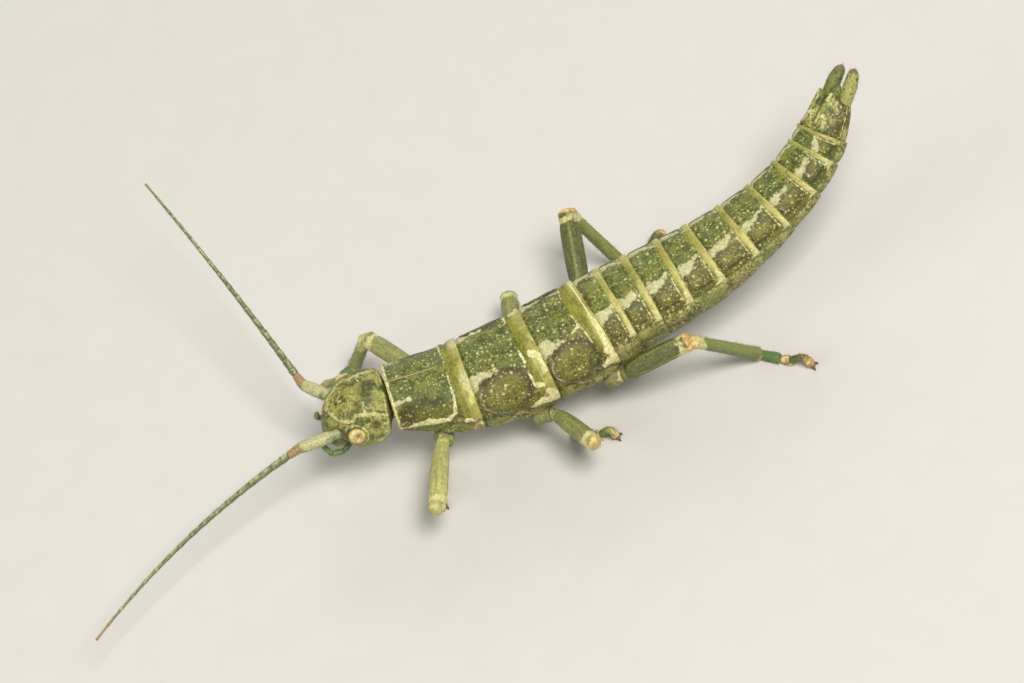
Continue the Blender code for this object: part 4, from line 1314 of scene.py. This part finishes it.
for number, (name, side) in enumerate((("left", 1), ("right", -1))):
    run = FEELERS[name]
    low = FEELER_MAP + FEELER_STRIP * number
    high = low + 0.034
    ahead, aside, above = FEELER_SOCKET
    socket = head_point(ahead, side * aside, above)
    scape = Vector(run["scape"])
    tip = socket + scape
    start, end = Vector(run["start"]).normalized(), Vector(run["end"]).normalized()
    line = [tip + start * 0.05]
    for i in range(WHIP_STEPS):
        line.append(line[-1] + start.slerp(end, i / (WHIP_STEPS - 1)) * WHIP_LENGTH / WHIP_STEPS)
    second = line[0] + start * SECOND_JOINT
    limb(f"scape_{name}",
         [socket - scape.normalized() * 0.05, socket.lerp(tip, 0.5), tip + scape.normalized() * 0.04],
         (0, 0.08, 0.15, 0.28, 0.6, 0.9, 1), (0.17, 0.20, 0.165, 0.215, 0.235, 0.205, 0.185), FEELER,
         (0.003, low, 0.13, high), scape_marks, cap=(0.15, 0.05), flat=0.92)
    limb(f"second_joint_{name}", [tip - start * 0.04, second], (0, 0.2, 0.6, 1), (0.150, 0.170, 0.155, 0.135),
         FEELER, (0.135, low, 0.185, high), second_marks, sides=20, step=0.025, cap=(0.05, 0.04), shape=folded)
    line[0] = second - start * 0.05
    limb(f"whip_{name}", line, (0, 0.08, 0.25, 0.6, 1), (0.135, 0.118, 0.095, 0.065, 0.036), FEELER,
         (0.19, low, 0.997, high), whip_marks, sides=12, step=0.055, shape=jointed)

# %% Tail feelers and the plate between them
SMALL_LOW, SMALL_HIGH, SMALL_STRIP = 0.945, 0.995, 0.0125  # the map's strip for small pieces
centre, (tail, left, up) = station(LAST + TAIL_SHARE)
base = centre + tail * 0.05


def cercus_marks(share, angle, length):
    """A pale inner face and a buff tip."""
    return {
        "cream": 0.10 * np.sin(angle + 0.6) + 0.14 * (1 - share) - 0.05,
        "teal": 0.04 - 0.12 * np.sin(angle + 0.6),
        "buff": (share - 0.90) * length + 0.02 * np.cos(angle),
    }


def plate_marks(share, angle, length):
    """Olive with a buff edge."""
    return {
        "cream": 0.10 - 0.2 * np.abs(np.sin(angle)),
        "buff": 0.03 * np.cos(2 * angle) + (share - 0.85) * length,
    }


# The two differ a little: degrees each is turned, and how far to the left its root lies.
for number, (name, side, degrees, aside) in enumerate((("left", 1, 0.0, 0.35), ("right", -1, 9.0, -0.32))):
    turn = math.radians(degrees)
    along = tail * math.cos(turn) + left * math.sin(turn)
    root = base + left * aside - up * 0.10
    line = [root - along * 0.35, root, root + along * 0.55 + left * side * 0.03,
            root + along * 1.10 - left * side * 0.02]
    limb(f"cercus_{name}", line, (0, 0.2, 0.5, 0.8, 1), (0.22, 0.255, 0.255, 0.215, 0.155), CERCUS,
         (0.003 + 0.17 * number, SMALL_LOW, 0.165 + 0.17 * number, SMALL_HIGH), cercus_marks,
         cap=(0.2, 0.22))
limb("anal_plate_skin",
     [base - tail * 0.4 + up * 0.08, base + tail * 0.15 + up * 0.10, base + tail * 0.42 - up * 0.02],
     (0, 0.5, 0.8, 1), (0.28, 0.22, 0.15, 0.08), CERCUS, (0.345, SMALL_LOW, 0.42, SMALL_HIGH), plate_marks,
     sides=20, flat=0.8)

# %% Mouthparts
def lip_marks(share, angle, length):
    """A cream edge."""
    return {"cream": (share - 0.8) * length}


def palp_marks(share, angle, length):
    """Brown joints."""
    return {"buff": 0.03 - np.minimum(share, 1 - share) * length, "cream": 0.02 * np.sin(angle) - 0.04}


HALFWAY = (0, 0.5, 1)
FACE_UP = (1.0, 0.0, 0.0)  # these lobes hang down, so their flat side faces ahead
LOBES = {
    "clypeus": ([(1.98, 0, -0.35), (2.15, 0, -0.62), (2.22, 0, -0.86)], (0.34, 0.46, 0.40),
                (0.43, SMALL_LOW, 0.50, SMALL_HIGH), {"flat": 0.34, "up": FACE_UP}),
    "lip": ([(2.20, 0, -0.74), (2.20, 0, -1.00), (2.08, 0, -1.24)], (0.34, 0.38, 0.28),
            (0.51, SMALL_LOW, 0.58, SMALL_HIGH), {"flat": 0.32, "up": FACE_UP}),
    "chin": ([(1.15, 0, -1.15), (1.55, 0, -1.30), (1.95, 0, -1.30)], (0.30, 0.40, 0.28),
             (0.59, SMALL_LOW, 0.66, SMALL_HIGH), {"flat": 0.55}),
}
JAW = [(1.55, 0.62, -0.72), (1.85, 0.52, -0.98), (2.08, 0.18, -1.12)]
PALP = [(1.40, 0.52, -1.15), (1.72, 0.72, -1.40), (2.16, 0.80, -1.34), (2.42, 0.66, -1.02),
        (2.40, 0.50, -0.64)]
LIP_PALP = [(1.80, 0.20, -1.30), (2.00, 0.30, -1.38), (2.25, 0.28, -1.25)]
for name, (places, radii, patch, settings) in LOBES.items():
    limb(name, [head_point(*place) for place in places], HALFWAY, radii, MOUTH, patch, lip_marks, **settings)
for number, side in enumerate((1, -1)):
    map_left = 0.67 + 0.16 * number
    jaw, palp, lip_palp = ([head_point(ahead, side * aside, above) for ahead, aside, above in places]
                           for places in (JAW, PALP, LIP_PALP))
    limb(f"jaw_{number}", jaw, HALFWAY, (0.22, 0.24, 0.15), MOUTH,
         (map_left, SMALL_LOW, map_left + 0.045, SMALL_HIGH), lip_marks)
    for i, (start, end) in enumerate(zip(palp, palp[1:])):
        low = SMALL_LOW + SMALL_STRIP * i
        limb(f"palp_{number}_{i}", [start - (end - start) * 0.08, end + (end - start) * 0.10], HALFWAY,
             (0.095, 0.112 - 0.006 * i, 0.095), MOUTH, (map_left + 0.05, low, map_left + 0.10, low + 0.0115),
             palp_marks, sides=12, step=0.06)
    for i, (start, end) in enumerate(zip(lip_palp, lip_palp[1:])):
        low = SMALL_LOW + SMALL_STRIP * i
        limb(f"labial_palp_{number}_{i}", [start, end], (0, 0.6, 1), (0.055, 0.070, 0.05), MOUTH,
             (map_left + 0.105, low, map_left + 0.15, low + 0.0115), palp_marks, sides=12, step=0.06)
print("tubes in all:", len(skins))

# %% Join the skin
skin = joined(skins, "skin")
print("skin:", triangles(skin), "triangles,", len(skin.material_slots), "finishes")

# %% [markdown]
# ## Eyes and claws
# An eye is a ball sunk in the cheek. Rings of darker spots lie round it, and its facets are a
# fine bump. Its dark spot is a painted pseudopupil: on a real eye it moves with the viewer, here it
# is painted fixed towards the camera. A foot ends in two hooks with a pad between them.

# %% Two eyes
EYE_GROWTH = (0.95, 0.91, 0.90)                         # along the head, up, and outwards
# The next line aims the painted pseudopupil: a dark spot fixed towards the camera, which on a real eye moves
# with the viewer.
PAINTED_PUPIL = (0.05, 0.70, 0.71)                              # the way the left eye's dark spot faces
RIM_ANGLE, SPOT_ANGLE = 92, 20                          # degrees from the middle of the eye, or of the spot
PER_DEGREE = 0.006                                      # how fast both marks change
eyes = []
for name, side in (("left", 1), ("right", -1)):
    centre = np.array(head_point(EYE_AHEAD, side * EYE_ASIDE, EYE_ABOVE))
    bpy.ops.mesh.primitive_uv_sphere_add(segments=64, ring_count=32, radius=EYE_RADIUS * MM)
    eye = bpy.context.object
    eye.name = f"{name}_eyeball"
    face = np.array(HEAD_FRAME[1]) * side
    along = np.array(HEAD_FRAME[0])
    place = np.empty(len(eye.data.vertices) * 3, np.float32)
    eye.data.vertices.foreach_get("co", place)
    ball = place.reshape(-1, 3) / MM / EYE_RADIUS
    spun = sum(ball[:, axis:axis + 1] * way * EYE_GROWTH[axis]
               for axis, way in enumerate((along, np.cross(face, along), face)))
    eye.data.vertices.foreach_set("co", into_frame(spun * EYE_RADIUS + centre))
    painted_pupil = ball @ (np.array(PAINTED_PUPIL) * (1, side, 1))
    from_face, from_painted_pupil = (np.degrees(np.arccos(np.clip(cosine, -1, 1))) for cosine in (ball[:, 2], painted_pupil))
    store_mark(eye.data, "furrow", (from_face - RIM_ANGLE) * PER_DEGREE)
    store_mark(eye.data, "dark", (SPOT_ANGLE - from_painted_pupil) * PER_DEGREE)
    eye.data.materials.append(EYE)
    smooth_surface()
    eyes.append(eye)
print("eyes:", [eye.name for eye in eyes])


# %% Claws and pads
# How far ahead, aside and down each place of a claw or pad lies from its root, and its radii.
CLAW_LINE = ((-0.05, 0, 0), (0.08, 0.04, -0.02), (0.17, 0.08, 0.03), (0.19, 0.09, 0.11))
CLAW_RADII = (0.05, 0.045, 0.036, 0.022, 0.004)
PAD_LINE = ((-0.08, 0, 0.04), (0.08, 0, 0.04), (0.15, 0, 0.06))
PAD_RADII = (0.06, 0.085, 0.07, 0.02)
CLAW_GAP = 0.05
CLAW_ROWS = 12


def hook(line, radii, sides=10):
    """A small closed tube for a claw, and its share of the length."""
    line = np.array([tuple(place) for place in line], float)
    share = np.linspace(0, 1, CLAW_ROWS)
    centre = np.stack([curve(share, np.linspace(0, 1, len(line)), line[:, axis]) for axis in range(3)], 1)
    radius = curve(share, np.linspace(0, 1, len(radii)), radii)[:, None]
    radius[0], radius[-1] = 0, 0
    angle = np.linspace(0, 2 * np.pi, sides + 1)[None, :]
    return swept(centre, (0.1, 0.2, 1.0), radius, angle), share[:, None]


hooks = []
for name, (tip, ahead) in feet.items():
    aside = Vector((-ahead.y, ahead.x, 0))
    for number, side in enumerate((1, -1, 0)):          # two claws, then the pad between them
        places, radii = (CLAW_LINE, CLAW_RADII) if side else (PAD_LINE, PAD_RADII)
        line = [tip + ahead * far + aside * side * (CLAW_GAP + out) - Vector((0, 0, down))
                for far, out, down in places]
        points, share = hook(line, radii)
        marks = {"share": share * abs(side)}
        hooks.append(rolled_grid(f"claw_{name}_{number}", points, marks, (0.01, 0.01, 0.99, 0.99), CLAW))
claws = joined(hooks, "claws")
print("claws:", triangles(claws), "triangles")

# %% [markdown]
# ## Bristles
# The skin is bare on the back, but legs, feelers, mouthparts and tail feelers carry short stiff
# bristles that lean towards the tip. Each is a thin curved cone. On the map it takes a small
# patch where its root stands, so that it keeps the colour of its own place.

# %% Where bristles grow, how many to a square millimetre, how long and how thick
BRISTLE_ZONES = {
    "trunk": (5, 0.055, 0.0050), "coxa": (12, 0.07, 0.0060), "trochanter": (14, 0.07, 0.0060),
    "femur": (26, 0.075, 0.0060), "tibia": (52, 0.12, 0.0095), "foot": (80, 0.11, 0.0075),
    "scape": (30, 0.07, 0.0055), "second": (60, 0.07, 0.0050), "whip": (110, 0.085, 0.0042),
    "cercus": (45, 0.15, 0.0065), "anal": (20, 0.10, 0.0055), "palp": (90, 0.07, 0.0042),
    "labial": (90, 0.06, 0.0040), "lip": (30, 0.08, 0.0050), "clypeus": (16, 0.07, 0.0050),
    "jaw": (24, 0.07, 0.0050), "chin": (20, 0.07, 0.0050),
}
PATCH = 0.003                                           # of the map, for one bristle
LEVELS = np.array([0.0, 0.35, 0.7, 1.0])
EACH = 3 * len(LEVELS)                                  # points of one bristle
ROOT_DEPTH, CURL, TAPER = 0.008, 0.25, 0.93
BARE = 0.25                                             # the back is bare where it faces up more than this
luck = np.random.default_rng(7)


def within(grid, i, j, a, b):
    """Values inside cells of a grid, at shares a and b of the way across them."""
    return (grid[i, j] * (1 - a) * (1 - b) + grid[i + 1, j] * a * (1 - b)
            + grid[i, j + 1] * (1 - a) * b + grid[i + 1, j + 1] * a * b)


def roots(points, uv, density):
    """Random places on a rolled grid: position, outward and tipward directions, and map place."""
    down, round_it = np.diff(points, axis=0)[:, :-1], np.diff(points, axis=1)[:-1]
    area = np.linalg.norm(np.cross(down, round_it), axis=2)
    count = int(area.sum() * density)
    cell = luck.choice(area.size, count, p=(area / area.sum()).ravel())
    i, j = np.unravel_index(cell, area.shape)
    a, b = luck.random((2, count, 1))
    place = within(points, i, j, a, b)
    outward = unit(np.cross(down, round_it)[i, j])
    outward *= np.sign(np.sum(outward * (place - points.mean(1)[i]), 1, keepdims=True))
    return place, outward, unit(down[i, j]), within(uv, i, j, a, b)


# %% Grow them
places, uvs = [], []
for name, (points, uv) in grids.items():
    density, long, thick = BRISTLE_ZONES[name.split("_")[0]]
    place, outward, tipward, on_map = roots(points, uv, density)
    if name == "trunk":
        kept = (outward[:, 2] < BARE) | (place[:, 0] < NECK.x)
        place, outward, tipward, on_map = place[kept], outward[kept], tipward[kept], on_map[kept]
    count = len(place)
    lean = unit(outward * luck.uniform(0.6, 1.0, (count, 1)) + tipward * luck.uniform(0.5, 1.0, (count, 1))
                + luck.normal(0, 0.12, (count, 3)))
    aside = unit(np.cross(lean, outward) + 1e-6)
    third = np.cross(lean, aside)
    reach = (long * luck.uniform(0.55, 1.15, (count, 1)))[:, None]
    level = LEVELS[None, :, None]
    curl = tipward[:, None] * reach * CURL * level ** 2
    spine = place[:, None] - outward[:, None] * ROOT_DEPTH + lean[:, None] * reach * level + curl
    width = thick * (1 - TAPER * LEVELS)[None, :, None, None]
    angle = (np.arange(3) * 2 * np.pi / 3)[None, None, :, None]
    ring = aside[:, None, None] * np.cos(angle) + third[:, None, None] * np.sin(angle)
    places.append((spine[:, :, None] + ring * width).reshape(-1, 3))
    spread = (level - 0.5) * PATCH * np.array([1.0, 0.0])
    turn_across = (np.arange(3) - 1)[None, None, :, None] * PATCH / 2 * np.array([0.0, 1.0])
    uvs.append((on_map[:, None, None] + spread[:, :, None] + turn_across).reshape(-1, 2))
places, uvs = np.concatenate(places), np.concatenate(uvs)
places[:, 2] = np.maximum(places[:, 2], 0.0)
count = len(places) // EACH
one = [(low + i, low + (i + 1) % 3, low + 3 + (i + 1) % 3, low + 3 + i)
       for low in range(0, EACH - 3, 3) for i in range(3)]
first = np.arange(count)[:, None] * EACH
faces = (np.array(one)[None] + first[:, None]).reshape(-1, 4)
ends = np.concatenate([first + np.array([[2, 1, 0]]), first + np.array([[9, 10, 11]])])
mesh = bpy.data.meshes.new("bristles")
mesh.from_pydata(((places + np.array(SHIFT)) * MM).tolist(), [], faces.tolist() + ends.tolist())
store_mark(mesh, "share", np.tile(np.repeat(LEVELS, 3), count))
store_map(mesh, mesh.uv_layers.new(name=MAP_NAME), np.clip(uvs, 0, 1))
mesh.materials.append(BRISTLE)
bristles = bpy.data.objects.new("bristles", mesh)
bpy.context.scene.collection.objects.link(bristles)
bpy.ops.object.select_all(action="DESELECT")
bristles.select_set(True)
bpy.context.view_layer.objects.active = bristles
smooth_surface()
print("bristles:", count)

# %% [markdown]
# ## Floor, light and camera
# The floor is plain and pale. One large soft light stands above and in front, a weaker one fills
# from the other side, and the camera looks down on the insect's back with a long lens.

# %% Floor
FLOOR_SIZE = 1.2
bpy.ops.mesh.primitive_plane_add(size=FLOOR_SIZE)
floor = bpy.context.object
floor.name = "floor"
f = Finish("floor")
grain = f.noise(1.5)
f.colour = f.mix(grain, (0.60, 0.59, 0.56), (0.64, 0.63, 0.60))
floor.data.materials.append(f.done(grain, 0.75, 0.85, grain, 0.002))

# %% Camera
ELEVATION, ROLL = math.radians(52), math.radians(20)
DISTANCE, FIELD = 0.2, 36.0           # metres away, and the width of its sensor in millimetres
LENS = 203.9
aim = Vector((-4.405, -0.40, 2.69)) + SHIFT
across = Vector((1, 0, 0))
rising = Vector((0, math.sin(ELEVATION), math.cos(ELEVATION)))
look = Vector((0, math.cos(ELEVATION), -math.sin(ELEVATION)))
right = across * math.cos(ROLL) - rising * math.sin(ROLL)
upright = across * math.sin(ROLL) + rising * math.cos(ROLL)
turn = Matrix((right, upright, -look)).transposed().to_4x4()
bpy.ops.object.camera_add()
camera = bpy.context.object
camera.matrix_world = Matrix.Translation(aim * MM - look * DISTANCE) @ turn
camera.data.sensor_width = FIELD
camera.data.lens = LENS
camera.data.clip_start = 0.01
camera.data.clip_end = 10
bpy.context.scene.camera = camera


# %% Light
def area_light(name, place, size, power, colour=(1.0, 1.0, 1.0)):
    """A square light that faces the insect."""
    bpy.ops.object.light_add(type="AREA", location=place)
    light = bpy.context.object
    light.name = name
    light.data.size = size
    light.data.energy = power
    light.data.color = colour
    light.rotation_euler = (aim * MM - Vector(place)).to_track_quat("-Z", "Y").to_euler()
    return light


area_light("key", (0.06, -0.10, 0.22), 0.10, 0.62, (1.0, 0.965, 0.90))
area_light("fill", (-0.20, -0.05, 0.12), 0.14, 0.15, (1.0, 0.98, 0.94))
area_light("back", (0.05, 0.22, 0.12), 0.14, 0.18)
WORLD_GLOW = 0.22
world = bpy.context.scene.world or bpy.data.worlds.new("world")
bpy.context.scene.world = world
world.use_nodes = True
background = world.node_tree.nodes["Background"]
background.inputs["Color"].default_value = (1.0, 0.98, 0.94, 1.0)
background.inputs["Strength"].default_value = WORLD_GLOW
bpy.context.scene.view_settings.view_transform = "Standard"

# %% [markdown]
# ## The pieces on the frame
# Every piece rides on the one body of the frame and takes the place of its solids there.

# %% Pieces and sizes
pieces = {skin: "cuticle", eyes[0]: "eye", eyes[1]: "eye", claws: "leg", bristles: "leg"}
for piece, slot in pieces.items():
    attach(piece, "root")
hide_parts("eye_left")
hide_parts("eye_right")
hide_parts(*(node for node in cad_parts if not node.startswith("eye_")))
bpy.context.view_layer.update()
for piece in pieces:
    print(piece.name, triangles(piece), "triangles")
